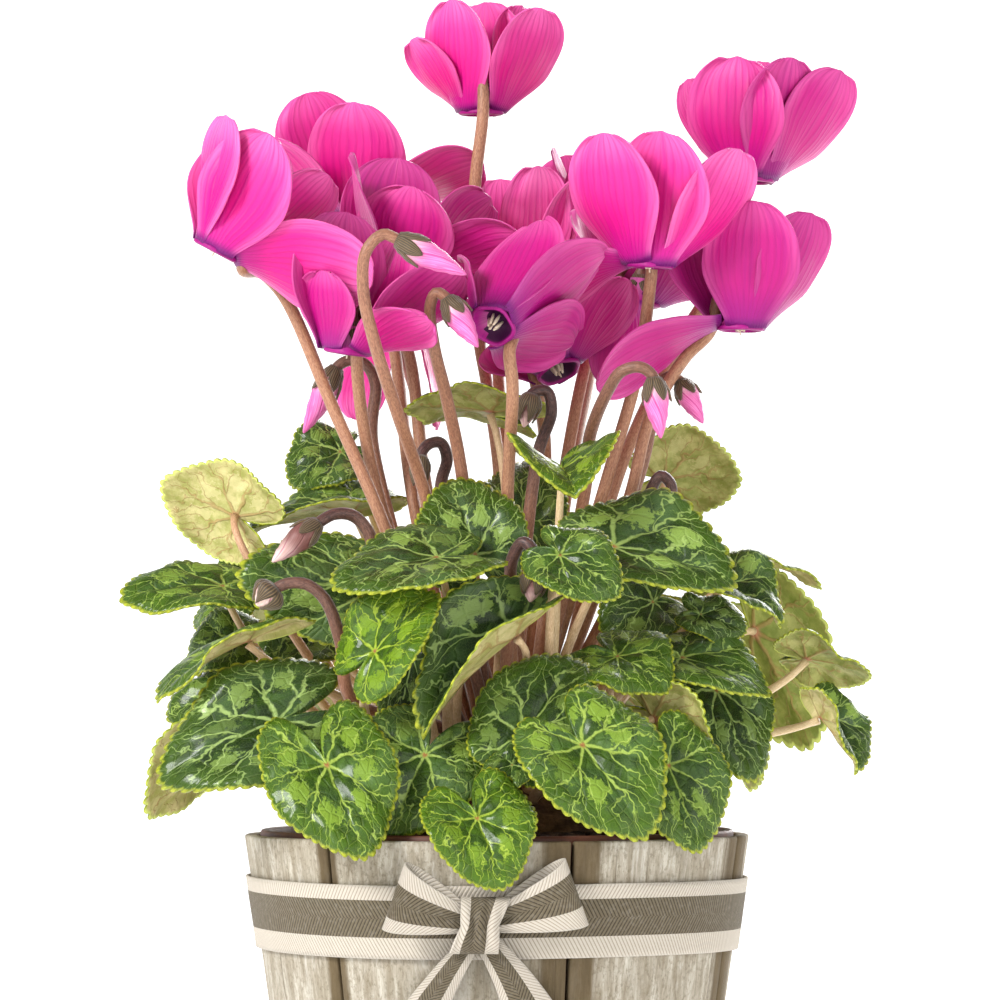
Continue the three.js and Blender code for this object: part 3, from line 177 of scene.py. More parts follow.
def bezier_path(p0, p1, p2, p3, steps=60):
    points = []
    for k in range(steps + 1):
        t = k / steps
        s = 1 - t
        points.append(p0 * s**3 + p1 * (3 * s * s * t) + p2 * (3 * s * t * t) + p3 * t**3)
    return Path(points)


# Mesh work


def new_mesh():
    bm = bmesh.new()
    bm.loops.layers.uv.new("flat")
    bm.loops.layers.uv.new("rim")
    bm.verts.layers.float.new("tone")
    bm.verts.layers.float.new("mark")
    return bm


def add_to(whole, part):
    """Adds the finished part's mesh to the whole."""
    spare = bpy.data.meshes.new("spare")
    part.to_mesh(spare)
    part.free()
    whole.from_mesh(spare)
    bpy.data.meshes.remove(spare)


def set_uv(bm, flat_of, rim_of=None):
    """Writes both UV maps from functions of a vertex."""
    flat = bm.loops.layers.uv["flat"]
    rim = bm.loops.layers.uv["rim"]
    for face in bm.faces:
        for loop in face.loops:
            loop[flat].uv = flat_of(loop.vert)
            if rim_of:
                loop[rim].uv = rim_of(loop.vert)


def set_values(bm, tone=0.0, mark=0.0):
    tone_layer = bm.verts.layers.float["tone"]
    mark_layer = bm.verts.layers.float["mark"]
    for vert in bm.verts:
        vert[tone_layer] = tone
        vert[mark_layer] = mark(vert) if callable(mark) else mark


def thicken(bm, thickness, under=None):
    """Gives an open sheet its thickness on both sides of where it is. Its other side may have its
    own material."""
    away = bm.verts.layers.float_vector.new("away")
    bm.normal_update()
    for vert in bm.verts:
        vert[away] = vert.normal
        vert.co += vert.normal * (thickness / 2)
    copied = bmesh.ops.extrude_face_region(bm, geom=bm.faces[:], use_keep_orig=True)["geom"]
    for element in copied:
        if isinstance(element, bmesh.types.BMVert):
            element.co -= element[away] * thickness
        elif isinstance(element, bmesh.types.BMFace) and under is not None:
            element.material_index = under
    bmesh.ops.recalc_face_normals(bm, faces=bm.faces[:])
    bm.verts.layers.float_vector.remove(away)


def finish_piece(name, bm, materials, nodes, smooth_faces=True):
    """Turns the millimetre mesh into a finished piece that stands for the named nodes."""
    bmesh.ops.scale(bm, vec=(MM, MM, MM), verts=bm.verts[:])
    mesh = bpy.data.meshes.new(name)
    bm.to_mesh(mesh)
    bm.free()
    for material in materials:
        mesh.materials.append(material)
    if smooth_faces:
        mesh.shade_smooth()
    piece = bpy.data.objects.new(name, mesh)
    bpy.context.collection.objects.link(piece)
    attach(piece, "root")
    if nodes:
        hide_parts(*nodes)
    return piece


def rod(path, radius_at, shares, sides, tone=0.0, mark=None, material=0):
    """A round rod along a path: a straight tube, cut into rings, that is bent onto the path."""
    bm = new_mesh()
    rings = len(shares) - 1
    bmesh.ops.create_cone(bm, cap_ends=True, segments=sides, radius1=1, radius2=1, depth=1)
    long_edges = [edge for edge in bm.edges if abs(edge.verts[0].co.z - edge.verts[1].co.z) > 0.5]
    bmesh.ops.subdivide_edges(bm, edges=long_edges, cuts=rings - 1, use_grid_fill=True)
    normal = Vector((0.3, 1, 0.2))
    frames = []
    for share in shares:
        middle, tangent = path.at(share)
        normal = (normal - tangent * normal.dot(tangent)).normalized()
        frames.append((middle, normal.copy(), tangent.cross(normal), radius_at(share)))
    spots = {}
    for vert in bm.verts:
        level = round((vert.co.z + 0.5) * rings)
        middle, across, other, radius = frames[level]
        spots[vert] = (math.atan2(vert.co.y, vert.co.x) / TURN, shares[level])
        vert.co = middle + across * (vert.co.x * radius) + other * (vert.co.y * radius)
    flat = bm.loops.layers.uv["flat"]
    for face in bm.faces:
        face.material_index = material
        turns = [spots[loop.vert][0] for loop in face.loops]
        wrap = max(turns) - min(turns) > 0.5
        for loop, turn in zip(face.loops, turns):
            around = turn + 1 if wrap and turn < 0 else turn
            loop[flat].uv = (around, spots[loop.vert][1] * path.length * MM)
    set_values(bm, tone, (lambda vert: mark(spots[vert][1])) if mark else 0.0)
    bmesh.ops.recalc_face_normals(bm, faces=bm.faces[:])
    return bm


def grid(columns, rows):
    """A flat grid from -1 to 1 both ways."""
    bm = new_mesh()
    bmesh.ops.create_grid(bm, x_segments=columns, y_segments=rows, size=1)
    return bm


# Materials


class Nodes:
    """Short calls for building a node tree."""

    def __init__(self, tree):
        self.tree = tree

    def put(self, kind, **values):
        node = self.tree.nodes.new(kind)
        for name, value in values.items():
            setattr(node, name, value)
        return node

    def join(self, source, socket):
        if hasattr(source, "is_output"):
            self.tree.links.new(source, socket)
        else:
            socket.default_value = source

    def math(self, operation, one, other=0.0, clamp=False):
        node = self.put("ShaderNodeMath", operation=operation, use_clamp=clamp)
        self.join(one, node.inputs[0])
        self.join(other, node.inputs[1])
        return node.outputs[0]

    def smooth(self, low, high, value):
        """0 below low and 1 above high, or the other way round where low is the larger one."""
        node = self.put("ShaderNodeMapRange", interpolation_type="SMOOTHSTEP", clamp=True)
        self.join(value, node.inputs["Value"])
        falls = not hasattr(low, "is_output") and not hasattr(high, "is_output") and low > high
        self.join(high if falls else low, node.inputs["From Min"])
        self.join(low if falls else high, node.inputs["From Max"])
        if falls:
            node.inputs["To Min"].default_value = 1
            node.inputs["To Max"].default_value = 0
        return node.outputs["Result"]

    def mix(self, share, one, other, blend="MIX"):
        node = self.put("ShaderNodeMix", data_type="RGBA", blend_type=blend, clamp_factor=True)
        self.join(share, node.inputs["Factor"])
        colours = [socket for socket in node.inputs if socket.type == "RGBA"]
        self.join(one, colours[0])
        self.join(other, colours[1])
        return next(socket for socket in node.outputs if socket.type == "RGBA")

    def noise(self, vector, scale, detail=2.0, roughness=0.5, distortion=0.0):
        node = self.put("ShaderNodeTexNoise")
        self.join(vector, node.inputs["Vector"])
        node.inputs["Scale"].default_value = scale
        node.inputs["Detail"].default_value = detail
        node.inputs["Roughness"].default_value = roughness
        node.inputs["Distortion"].default_value = distortion
        return node.outputs["Fac"]

    def stretch(self, vector, scale, turn=0.0, move=(0, 0, 0)):
        node = self.put("ShaderNodeMapping")
        self.join(vector, node.inputs["Vector"])
        node.inputs["Scale"].default_value = scale
        node.inputs["Rotation"].default_value = (0, 0, turn)
        node.inputs["Location"].default_value = move
        return node.outputs["Vector"]

    def split(self, vector):
        node = self.put("ShaderNodeSeparateXYZ")
        self.join(vector, node.inputs[0])
        return node.outputs

    def vector(self, x, y, z=0.0):
        node = self.put("ShaderNodeCombineXYZ")
        for value, socket in zip((x, y, z), node.inputs):
            self.join(value, socket)
        return node.outputs[0]

    def uv(self, name):
        return self.put("ShaderNodeUVMap", uv_map=name).outputs["UV"]

    def value(self, name):
        return self.put("ShaderNodeAttribute", attribute_name=name).outputs["Fac"]

    def spot(self):
        return self.put("ShaderNodeTexCoord").outputs["Object"]

    def bump(self, height, strength, distance):
        node = self.put("ShaderNodeBump")
        node.inputs["Strength"].default_value = strength
        node.inputs["Distance"].default_value = distance
        self.join(height, node.inputs["Height"])
        return node.outputs["Normal"]


def shader_group(name, inputs, outputs):
    """A node group with named float, vector and colour sockets, and short calls to fill it."""
    tree = bpy.data.node_groups.new(name, "ShaderNodeTree")
    for socket, kind in inputs.items():
        tree.interface.new_socket(socket, in_out="INPUT", socket_type=f"NodeSocket{kind}")
    for socket, kind in outputs.items():
        tree.interface.new_socket(socket, in_out="OUTPUT", socket_type=f"NodeSocket{kind}")
    nodes = Nodes(tree)
    return tree, nodes, nodes.put("NodeGroupInput").outputs, nodes.put("NodeGroupOutput").inputs


def use_group(nodes, tree, **inputs):
    node = nodes.put("ShaderNodeGroup", node_tree=tree)
    for name, value in inputs.items():
        nodes.join(value, node.inputs[name.replace("_", " ")])
    return node.outputs


def new_material(name, roughness=0.5, **plain):
    """A material with its Principled shader, whose plain values are set on its own sockets."""
    material = bpy.data.materials.new(name)
    material.use_nodes = True
    nodes = Nodes(material.node_tree)
    shader = material.node_tree.nodes["Principled BSDF"]
    shader.inputs["Roughness"].default_value = roughness
    for socket, value in plain.items():
        shader.inputs[socket.replace("_", " ")].default_value = value
    return material, nodes, shader.inputs


def rgb(red, green, blue):
    """A colour as it looks, from 0 to 255, as the shaders' linear values."""

    def linear(value):
        share = value / 255
        return share / 12.92 if share <= 0.04045 else ((share + 0.055) / 1.055) ** 2.4

    return (linear(red), linear(green), linear(blue), 1)


# Places: every leaf, bloom and bud, as someone at EYE sees them


def leaf(joint, tip, face, width, **more):
    return {"joint": joint, "tip": tip, "face": face, "width": width, **more}


def petal(azimuth, lean, **more):
    return {"azimuth": azimuth, "lean": lean, **more}


# Each leaf's tone runs from a dark bluish green to a yellow green: it is partly the leaf's own colour and partly
# painted light and shade, low on leaves that lie in shadow and high on brightly lit ones.
LEAF_CLUSTERS = {
    "leaves_left_top": ((-118, 22), [
        leaf((-83.5, 241.3, 12), (-104, 252.5, 22), (-0.25, 0.9, 0.35), 31, lobes=0.62,
             tone=0.8, silver=0.3, tan=0.1),
        leaf((-80, 226, 24), (-93, 222, 30), (-0.1, -0.7, 0.7), 22, tone=0.5, silver=0.3),
    ]),
    "leaves_left_tall": ((-125, 20), [
        leaf((-50, 262, 46), (-67, 256, 40), (-0.1, -0.75, 0.65), 30, tone=0.35, silver=0.6),
        leaf((-46, 243, 28), (-80, 241, 24), (0, -0.3, 0.95), 36, fold=(0.4, 0.2), tone=0.4, silver=0.5),
    ]),
    "leaves_left_long": ((-92, 27), [
        leaf((-87.5, 218.9, -14), (-118.5, 221, -20), (0, -0.3, 0.95), 32, fold=(-0.2, 0.2),
             tone=0.55, silver=0.6),
        leaf((-84, 214, 26), (-99, 211, 32), (-0.2, -0.6, 0.75), 22, tone=0.5, silver=0.3),
    ]),
    "leaves_left_edge": ((-72, 25), [
        leaf((-80, 201.5, -32), (-110.4, 190, -40), (-0.35, -0.05, 0.93), 40, lobes=0.7,
             tone=0.6, silver=0.9),
        leaf((-84, 201, -5), (-101, 198, -1), (-0.3, -0.7, 0.6), 26, tone=0.4, silver=0.4),
    ]),
    "leaves_left_silver": ((-86, 17), [
        leaf((-58, 205, 20), (-76, 199, 14), (-0.2, -0.85, 0.5), 28, tone=0.3, silver=0.5),
        leaf((-41, 216, -20), (-79, 226.5, -32), (0, -0.8, 0.6), 36, fold=(-0.5, 0.1), lobes=0.35,
             tone=0.3, silver=0.8),
    ]),
    "leaf_left_large": ((-64, 29), [
        leaf((-70.4, 175.7, -48), (-108, 162, -56), (-0.3, -0.85, 0.45), 44, lobes=0.7,
             tone=0.15, silver=0.6),
    ]),
    "leaves_left_low": ((-84, 29.5), [
        leaf((-84, 184, -16), (-106, 181, -10), (-0.4, -0.7, 0.6), 30, tone=0.4, silver=0.4),
        leaf((-88, 168, -22), (-114, 151, -20), (-0.2, 0.5, 0.75), 38, lobes=0.7, tone=0.9, silver=0.6),
    ]),
    "leaf_front_left": ((-46, 29), [
        leaf((-54.4, 161.9, -68), (-43.2, 136.3, -88), (0, -0.9, 0.42), 40, lobes=0.8,
             tone=0.65, silver=0.7),
    ]),
    "leaves_front_olive": ((-30, 27), [
        leaf((-27, 196, -37), (-33, 174, -44), (-0.1, -0.95, 0.3), 21, tone=0.1, silver=0.4),
        leaf((-23, 165.1, -56), (-34, 143, -71), (0.05, -0.85, 0.5), 40, lobes=0.65,
             tone=0.4, silver=0.9, tan=0.6),
    ]),
    "leaves_front_over_rim": ((-3, 29.5), [
        leaf((-6.4, 144.9, -80), (2, 126, -93), (0.1, -0.9, 0.4), 34, lobes=0.75, tone=0.85, silver=0.4),
        leaf((5, 162, -67), (-4, 151, -71), (-0.2, -0.9, 0.4), 15, lobes=0.75, arrive=(-0.2, 0, 0.9), rise=0.2,
             tone=0.3, silver=0.3),
    ]),
    "leaf_front_folded": ((-20, 18), [
        leaf((6, 203, -50), (-26, 180, -65), (-0.1, -0.35, 0.93), 38, fold=(0.68, 1.1),
             tone=0.15, silver=0.9),
    ]),
    "leaf_front_bright": ((-44, 20), [
        leaf((-39, 198.1, -62), (-23, 217.9, -68), (-0.35, -0.85, 0.4), 30, lobes=0.6, arrive=(0.9, 0, 0.4), reach=0.62,
             tone=0.95, silver=0.5, tan=0.6),
    ]),
    "leaf_front_shiny": ((14, 22), [
        leaf((9, 171.5, -60), (25, 198, -51), (-0.1, -0.85, 0.5), 37, lobes=0.5, tone=0.3, silver=0.35),
    ]),
    "leaves_middle": ((-34, 14), [
        leaf((-19.2, 228.1, -54), (-51.2, 224.3, -67), (-0.05, -0.45, 0.89), 42, lobes=0.6,
             tone=0.3, silver=0.9),
        leaf((-7, 229, -34), (-14, 255, -28), (0.05, -0.85, 0.5), 34, lobes=0.45, tone=0.25, silver=0.9),
    ]),
    "leaves_behind_stems": ((180, 1), [
        leaf((-2, 275, 4), (-28, 281, -2), (0, 0.35, 0.94), 30, lobes=0.7, tone=0.5, silver=0.3),
        leaf((8, 240, 12), (9, 262, 22), (0, -0.8, 0.6), 28, tone=0.3, silver=0.3),
    ]),
    "leaves_mid_winged": ((34, 17), [
        leaf((20.8, 256.3, -30), (25, 253.5, -52), (0, -0.2, 0.98), 38, fold=(0.55, 0.45),
             tone=0.8, silver=0.9, tan=0.9),
        leaf((20, 229, -60), (38, 220, -70), (0, -0.85, 0.5), 26, tone=0.45, silver=0.4),
    ]),
    "leaf_right_large": ((62, 14), [
        leaf((37, 231.5, -34), (76, 228.5, -42), (0, -0.42, 0.9), 38, fold=(0.5, -0.35),
             tone=0.25, silver=1),
    ]),
    "leaf_right_backlit": ((118, 18), [
        leaf((54, 253.7, 42), (76, 256, 48), (0.3, 0.85, 0.4), 34, lobes=0.6, tone=0.5, silver=0.2),
    ]),
    "leaves_right_silver": ((82, 22), [
        leaf((72, 219, -19), (92, 211.5, -25), (0.2, -0.35, 0.9), 30, fold=(0.5, 0.2), tone=0.3, silver=1),
        leaf((75, 227.5, 22), (103.5, 226, 22), (0, -0.05, 1), 24, tone=0.4, silver=1),
    ]),
    "leaves_right_dark": ((56, 23), [
        leaf((50, 214, -10), (35, 206, -18), (0, -0.9, 0.4), 26, tone=0.15, silver=0.5),
        leaf((65, 210, -24), (79, 206, -28), (0.1, -0.85, 0.5), 16, tone=0.1, silver=0.3),
    ]),
    "leaves_front_right_bright": ((56, 25), [
        leaf((38.4, 196.5, -41), (54, 190, -53), (0.1, -0.7, 0.65), 32, lobes=0.75, tone=0.6, silver=0.6),
        leaf((50, 177, -37), (72, 163, -41), (0.1, 0.7, 0.7), 32, tone=0.6, silver=0.3),
    ]),
    "leaves_right_edge": ((94, 27), [
        leaf((82, 205, 38), (101, 171, 46), (0.2, 0.9, 0.3), 42, lobes=0.6, tone=0.22, silver=0.3, tan=0.5),
        leaf((99, 196, -4), (119.5, 193.5, -10), (0.1, 0.5, 0.85), 30, tone=0.4, silver=0.5, tan=0.6),
        leaf((103.5, 177, -20), (117, 163, -26), (0.6, -0.2, 0.75), 30, fold=(0.5, 0.4),
             tone=0.3, silver=1, tan=0.7),
    ]),
    "leaves_right_low": ((68, 29), [
        leaf((59, 196, -30), (86.7, 190.7, -40), (0.1, -0.6, 0.78), 30, lobes=0.6,
             tone=0.4, silver=0.9, tan=0.5),
        leaf((70, 186, -16), (83, 160, -26), (0.2, -0.9, 0.35), 31, tone=0.15, silver=0.4),
    ]),
    "leaf_front_right_large": ((22, 29.5), [
        leaf((27.2, 168.3, -72), (47.4, 143.7, -89), (0.1, -0.88, 0.45), 42, lobes=0.6, arrive=(-0.35, 0, 0.75), rise=0.2,
             tone=0.6, silver=0.8, tan=0.8),
    ]),
    "leaf_front_right_low": ((46, 29.5), [
        leaf((54.7, 161.9, -58), (66.6, 137, -66), (0.25, -0.88, 0.4), 34, lobes=0.7, tone=0.5, silver=0.7),
    ]),
    "leaves_back_left": ((-142, 25), [
        leaf((-62, 208, 52), (-88, 198, 74), (-0.4, 0.5, 0.77), 40, tone=0.4, silver=0.5),
        leaf((-40, 184, 66), (-52, 162, 90), (-0.3, 0.8, 0.5), 42, tone=0.5, silver=0.4),
        leaf((-72, 176, 36), (-98, 160, 50), (-0.6, 0.4, 0.7), 40, tone=0.3, silver=0.7),
    ]),
    "leaves_back_middle": ((178, 27), [
        leaf((0, 216, 62), (4, 206, 94), (0, 0.5, 0.86), 44, tone=0.3, silver=0.6),
        leaf((-6, 180, 74), (-12, 156, 98), (-0.1, 0.85, 0.5), 40, tone=0.45, silver=0.5),
        leaf((20, 186, 72), (25, 164, 96), (0.2, 0.85, 0.5), 38, tone=0.35, silver=0.8),
    ]),
    "leaves_back_right": ((140, 25), [
        leaf((58, 210, 66), (82, 202, 90), (0.4, 0.5, 0.77), 40, tone=0.45, silver=0.4),
        leaf((48, 178, 66), (60, 158, 88), (0.4, 0.8, 0.5), 32, tone=0.3, silver=0.7),
        leaf((68, 176, 62), (84, 160, 80), (0.6, 0.4, 0.7), 32, tone=0.5, silver=0.5),
    ]),
}

# Each bloom's 'light' value is painted light and shade: it makes the whole bloom paler where it faces the key light and
# deeper where it lies in shade.
BLOOMS = {
    "bloom_left": {
        "light": 0.55,
        "mouth": (-90.6, 326.4, -25), "axis": (0.47, -0.05, 0.88), "stem_side": 104,
        "way": [(-35.8, 237.7, -12), (-52, 275, -8), (-67.8, 311.3, -4), (-74.5, 319, -1)],
        "petals": [
            petal(-85, (14, 14), width=27, twist=-30),
            petal(-5, (8, 6), twist=25),
            petal(105, (28, 14), width=27, twist=62),
            petal(76, (66, 80), length=45, width=28, twist=84),
            petal(195, (15, 10)),
        ],
    },
    "bloom_left_open": {
        "light": 0.4,
        "mouth": (-46.4, 338, 53), "axis": (0, -0.35, 0.94), "stem_side": 150,
        "way": [(-26, 242, 16), (-33, 296, 46)],
        "petals": [
            petal(-140, (25, 25), width=28),
            petal(8, (10, -4), twist=30),
            petal(92, (60, 72), twist=60),
            petal(48, (62, 40), length=26, width=20),
            petal(-72, (50, 42), twist=-40),
        ],
    },
    "bloom_left_front": {
        "light": 0.2,
        "mouth": (-48, 293.7, -28), "axis": (0.14, -0.1, 0.98), "stem_side": 165,
        "way": [(-36.5, 243, 0), (-43, 272, -8)],
        "petals": [
            petal(-60, (18, 8), length=24, width=22, twist=-25),
            petal(77, (36, 44), width=25, twist=45),
            petal(40, (60, 72), length=34, width=20, twist=40),
            petal(150, (20, 20)),
            petal(-130, (10, -5), length=42),
        ],
    },
    "bloom_left_back": {
        "light": 0.15,
        "mouth": (-34, 317, 18), "axis": (0.2, 0, 0.98), "stem_side": 185,
        "way": [(-23, 253, 14), (-27.5, 290, 22)],
        "petals": [
            petal(72, (58, 66), width=26, twist=52),
            petal(118, (30, 38), width=26, twist=74),
            petal(-150, (10, 5)),
            petal(-60, (30, 20)),
            petal(5, (30, 10), length=30),
        ],
    },
    "bloom_top": {
        "light": 0.45,
        "mouth": (-5.1, 370.5, 50), "axis": (0, -0.05, 1), "stem_side": 4,
        "way": [(1, 250, 24), (-3.2, 283.5, 38), (-5.8, 299, 43), (-7.2, 345, 41)],
        "petals": [
            petal(-88, (34, 34), length=28, width=18, twist=-45),
            petal(-52, (14, 2), length=36, width=23, twist=-22),
            petal(172, (0, 4), length=36),
            petal(120, (22, 6), length=36, width=27, twist=74),
            petal(66, (36, 12), length=36, width=24, twist=36),
        ],
    },
    "bloom_centre": {
        "light": 0.1,
        "mouth": (-1.6, 302.4, -42), "axis": (0.33, 0.74, 0.58), "stem_side": 122,
        "way": [(3.4, 247, -21), (5, 283, -36)],
        "petals": [
            petal(-22, (6, 8), width=27, length=42),
            petal(52, (24, 22), twist=-30, length=42),
            petal(118, (30, 40), length=34),
            petal(-100, (30, 16), length=24, width=20),
            petal(-160, (25, 20), length=30),
        ],
    },
    "bloom_centre_back": {
        "light": 0.5,
        "mouth": (9, 314, 63), "axis": (0.08, 0.1, 1), "stem_side": 200,
        "way": [(5, 250, 38), (0.5, 290, 56)],
        "petals": [
            petal(10, (6, -6), width=22),
            petal(70, (22, 12), width=22),
            petal(-70, (30, 8), width=22),
            petal(140, (20, 10)),
            petal(-140, (20, 10)),
        ],
    },
    "bloom_right": {
        "light": 0.55,
        "mouth": (49, 321.3, -16), "axis": (0.05, -0.05, 1), "stem_side": 175,
        "way": [(36, 256, 2), (45, 288, 4)],
        "petals": [
            petal(-52, (34, 6), width=28, length=42, twist=-28),
            petal(6, (6, 8), twist=40, length=41),
            petal(72, (42, 16), width=26, length=42, twist=36),
            petal(150, (20, 5)),
            petal(-104, (98, 120), width=27, length=42, twist=-55),
        ],
    },
    "bloom_right_back": {
        "light": 0.3,
        "mouth": (38, 324, 95), "axis": (-0.1, 0, 1), "stem_side": 200,
        "way": [(21.8, 246, 26), (29.8, 288, 66)],
        "petals": [
            petal(-75, (22, 10), width=22),
            petal(0, (10, 0)),
            petal(75, (25, 10)),
            petal(140, (20, 10)),
            petal(-140, (30, 10)),
        ],
    },
    "bloom_right_top": {
        "light": 0.22,
        "mouth": (81.6, 348.8, 34), "axis": (0.04, 0, 1), "stem_side": -160,
        "way": [(40, 258, 22), (60, 300, 44), (78, 330, 42)],
        "petals": [
            petal(-32, (30, -14), width=30, twist=-14),
            petal(-96, (36, 14), width=24, length=35, twist=-40),
            petal(172, (4, 2)),
            petal(50, (14, 8), width=28, twist=18),
            petal(96, (40, 20), width=29, length=42, twist=56),
        ],
    },
    "bloom_far_right": {
        "light": 0.0,
        "mouth": (78, 301.1, -3), "axis": (0.02, 0, 1), "stem_side": -110,
        "way": [(42.6, 248, 2), (49, 273, 6), (60, 292, 6)],
        "petals": [
            petal(12, (14, 4), width=28),
            petal(84, (30, 14), width=28, twist=46),
            petal(150, (15, 5)),
            petal(-125, (24, 12)),
            petal(-78, (110, 126), width=26, length=44, twist=-50),
        ],
    },
    "bloom_centre_low": {
        "light": 0.15, "pale": 1,
        "mouth": (20, 287.5, 14), "axis": (-0.35, 0.4, 0.85), "stem_side": -120,
        "way": [(15.5, 262, 29)],
        "petals": [
            petal(70, (62, 60), length=30, width=20),
            petal(0, (12, 20), length=28, width=20),
            petal(-70, (30, 30), length=26, width=20),
            petal(140, (30, 30), length=30),
            petal(-150, (20, 20), length=30),
        ],
    },
    "bloom_right_inner": {
        "light": 0.12,
        "mouth": (45, 309, 34), "axis": (0.1, 0, 1), "stem_side": -120,
        "way": [(21, 252, 24), (30.4, 297, 34)],
        "petals": [
            petal(62, (48, 52), length=34, twist=42),
            petal(-18, (158, 172), length=30, width=20),
            petal(130, (20, 10), length=32),
            petal(-90, (30, 20), length=32),
            petal(-150, (20, 10), length=32),
        ],
    },
    "bloom_low_back": {
        "light": 0.5,
        "mouth": (-31, 299, 72), "axis": (0.05, 0.1, 1), "stem_side": 180,
        "way": [(-22, 240, 30), (-26, 280, 60)],
        "petals": [
            petal(-50, (150, 176), length=32, width=18),
            petal(55, (150, 176), length=34, width=18),
            petal(120, (30, 20), length=30),
            petal(0, (20, 10), length=30),
            petal(-120, (30, 20), length=30),
        ],
    },
}

# A bud is a stem's way, the calyx's neck, the bud's tip and its size; young is how dark the hook is.
BUDS = {
    "bud_left_tall": {
        "way": [(-23, 248.3, -20), (-31.7, 273.9, -40), (-39, 296.3, -55), (-42.9, 313.9, -58),
                (-41.9, 326.7, -60), (-36.5, 332, -60)],
        "neck": (-32.4, 330.6, -60), "tip": (-9.9, 319, -62), "size": 1.05, "young": 0.25,
    },
    "bud_mid": {
        "way": [(-11.2, 254.7, -16), (-16, 278.7, -28), (-20.2, 296.3, -40), (-21.4, 309.1, -46),
                (-19.4, 313.2, -48)],
        "neck": (-16.4, 311.6, -49), "tip": (-6.1, 295.7, -52), "size": 1, "young": 0.3,
    },
    "bud_left_dark": {
        "way": [(-40, 266, 12), (-39, 284, 14), (-42, 290, 15), (-47, 291.5, 16)],
        "neck": (-51, 289.5, 16), "tip": (-62, 268.1, 14), "size": 1, "young": 0.7,
    },
    "bud_right": {
        "way": [(28.2, 250, -6), (29.8, 267.5, -18), (36.2, 283, -30), (40, 288, -34), (46, 289.3, -36)],
        "neck": (50, 286.2, -36), "tip": (52.5, 266.5, -38), "size": 1, "young": 0.6,
    },
    "bud_right_pale": {
        "way": [(46, 256, 8), (51, 278, 10), (54, 286, 10)],
        "neck": (58.5, 285, 10), "tip": (66, 271.3, 6), "size": 0.9, "young": 0.5,
    },
    "bud_left_white": {
        "way": [(-38.5, 222, -33), (-41, 236, -36), (-46, 241.6, -38), (-51.8, 242.2, -41)],
        "neck": (-57, 239.5, -44), "tip": (-72, 226.9, -50), "size": 1, "young": 0.95, "pink": 0.1,
    },
    "bud_left_thick": {
        "way": [(-46.4, 182.7, -34), (-50.2, 201.9, -44), (-55, 214.7, -50), (-61, 219.7, -52), (-67, 220, -52)],
        "neck": (-70.5, 218.5, -52), "tip": (-77, 213, -53), "size": 1.25, "young": 0.8, "pink": 0, "cover": 0.95,
    },
    "bud_front_loop": {
        "way": [(4.2, 214.7, -34), (5, 228, -45), (8.5, 233.2, -49), (12.5, 229, -51)],
        "neck": (12.5, 224, -52), "tip": (10.5, 214, -53), "size": 0.95, "young": 1, "pink": 0.15, "cover": 0.75,
    },
    "bud_dark_hook": {
        "way": [(13, 261, -8), (17.5, 275, -12), (16, 281.5, -13)],
        "neck": (11.5, 281, -14), "tip": (8.5, 270, -14), "size": 0.85, "young": 1, "pink": 0.1, "cover": 0.8,
    },
    "bud_left_hook": {
        "way": [(-18, 250, 3), (-16, 260, 0), (-18, 265, -3), (-22, 264.5, -6)],
        "neck": (-24.5, 261, -8), "tip": (-25, 250, -10), "size": 0.7, "young": 1, "pink": 0.1, "cover": 0.85,
    },
    "bud_right_loop": {
        "way": [(47, 236, -2), (49, 249, -4), (52.5, 254.5, -5), (55.5, 252, -5)],
        "neck": (56, 248.5, -5), "tip": (56, 240, -5), "size": 0.8, "young": 1, "pink": 0.1, "cover": 0.85,
    },
}

# Each bunch's stems share one root on the tuber, as a leaf cluster's petioles do.
STEM_BUNCHES = {
    "stems_left": {"root": (-110, 8), "blooms": ["bloom_left", "bloom_left_front"], "buds": ["bud_left_dark"]},
    "stems_left_back": {
        "root": (-158, 15), "blooms": ["bloom_left_open", "bloom_left_back", "bloom_low_back", "bloom_top"],
        "buds": [],
    },
    "stems_front": {
        "root": (0, 10), "blooms": ["bloom_centre"],
        "buds": ["bud_left_tall", "bud_mid", "bud_left_hook", "bud_dark_hook", "bud_front_loop"],
    },
    "stems_right": {
        "root": (80, 8), "blooms": ["bloom_right", "bloom_far_right"], "buds": ["bud_right", "bud_right_loop"],
    },
    "stems_right_back": {
        "root": (135, 15),
        "blooms": ["bloom_right_top", "bloom_right_inner", "bloom_right_back", "bloom_centre_back",
                   "bloom_centre_low"],
        "buds": ["bud_right_pale"],
    },
    "stems_low": {"root": (-70, 14), "blooms": [], "buds": ["bud_left_white", "bud_left_thick"]},
}


# Materials of the plant

MAIN_VEIN_STEP = 0.8
TOOTH_COUNT = 48


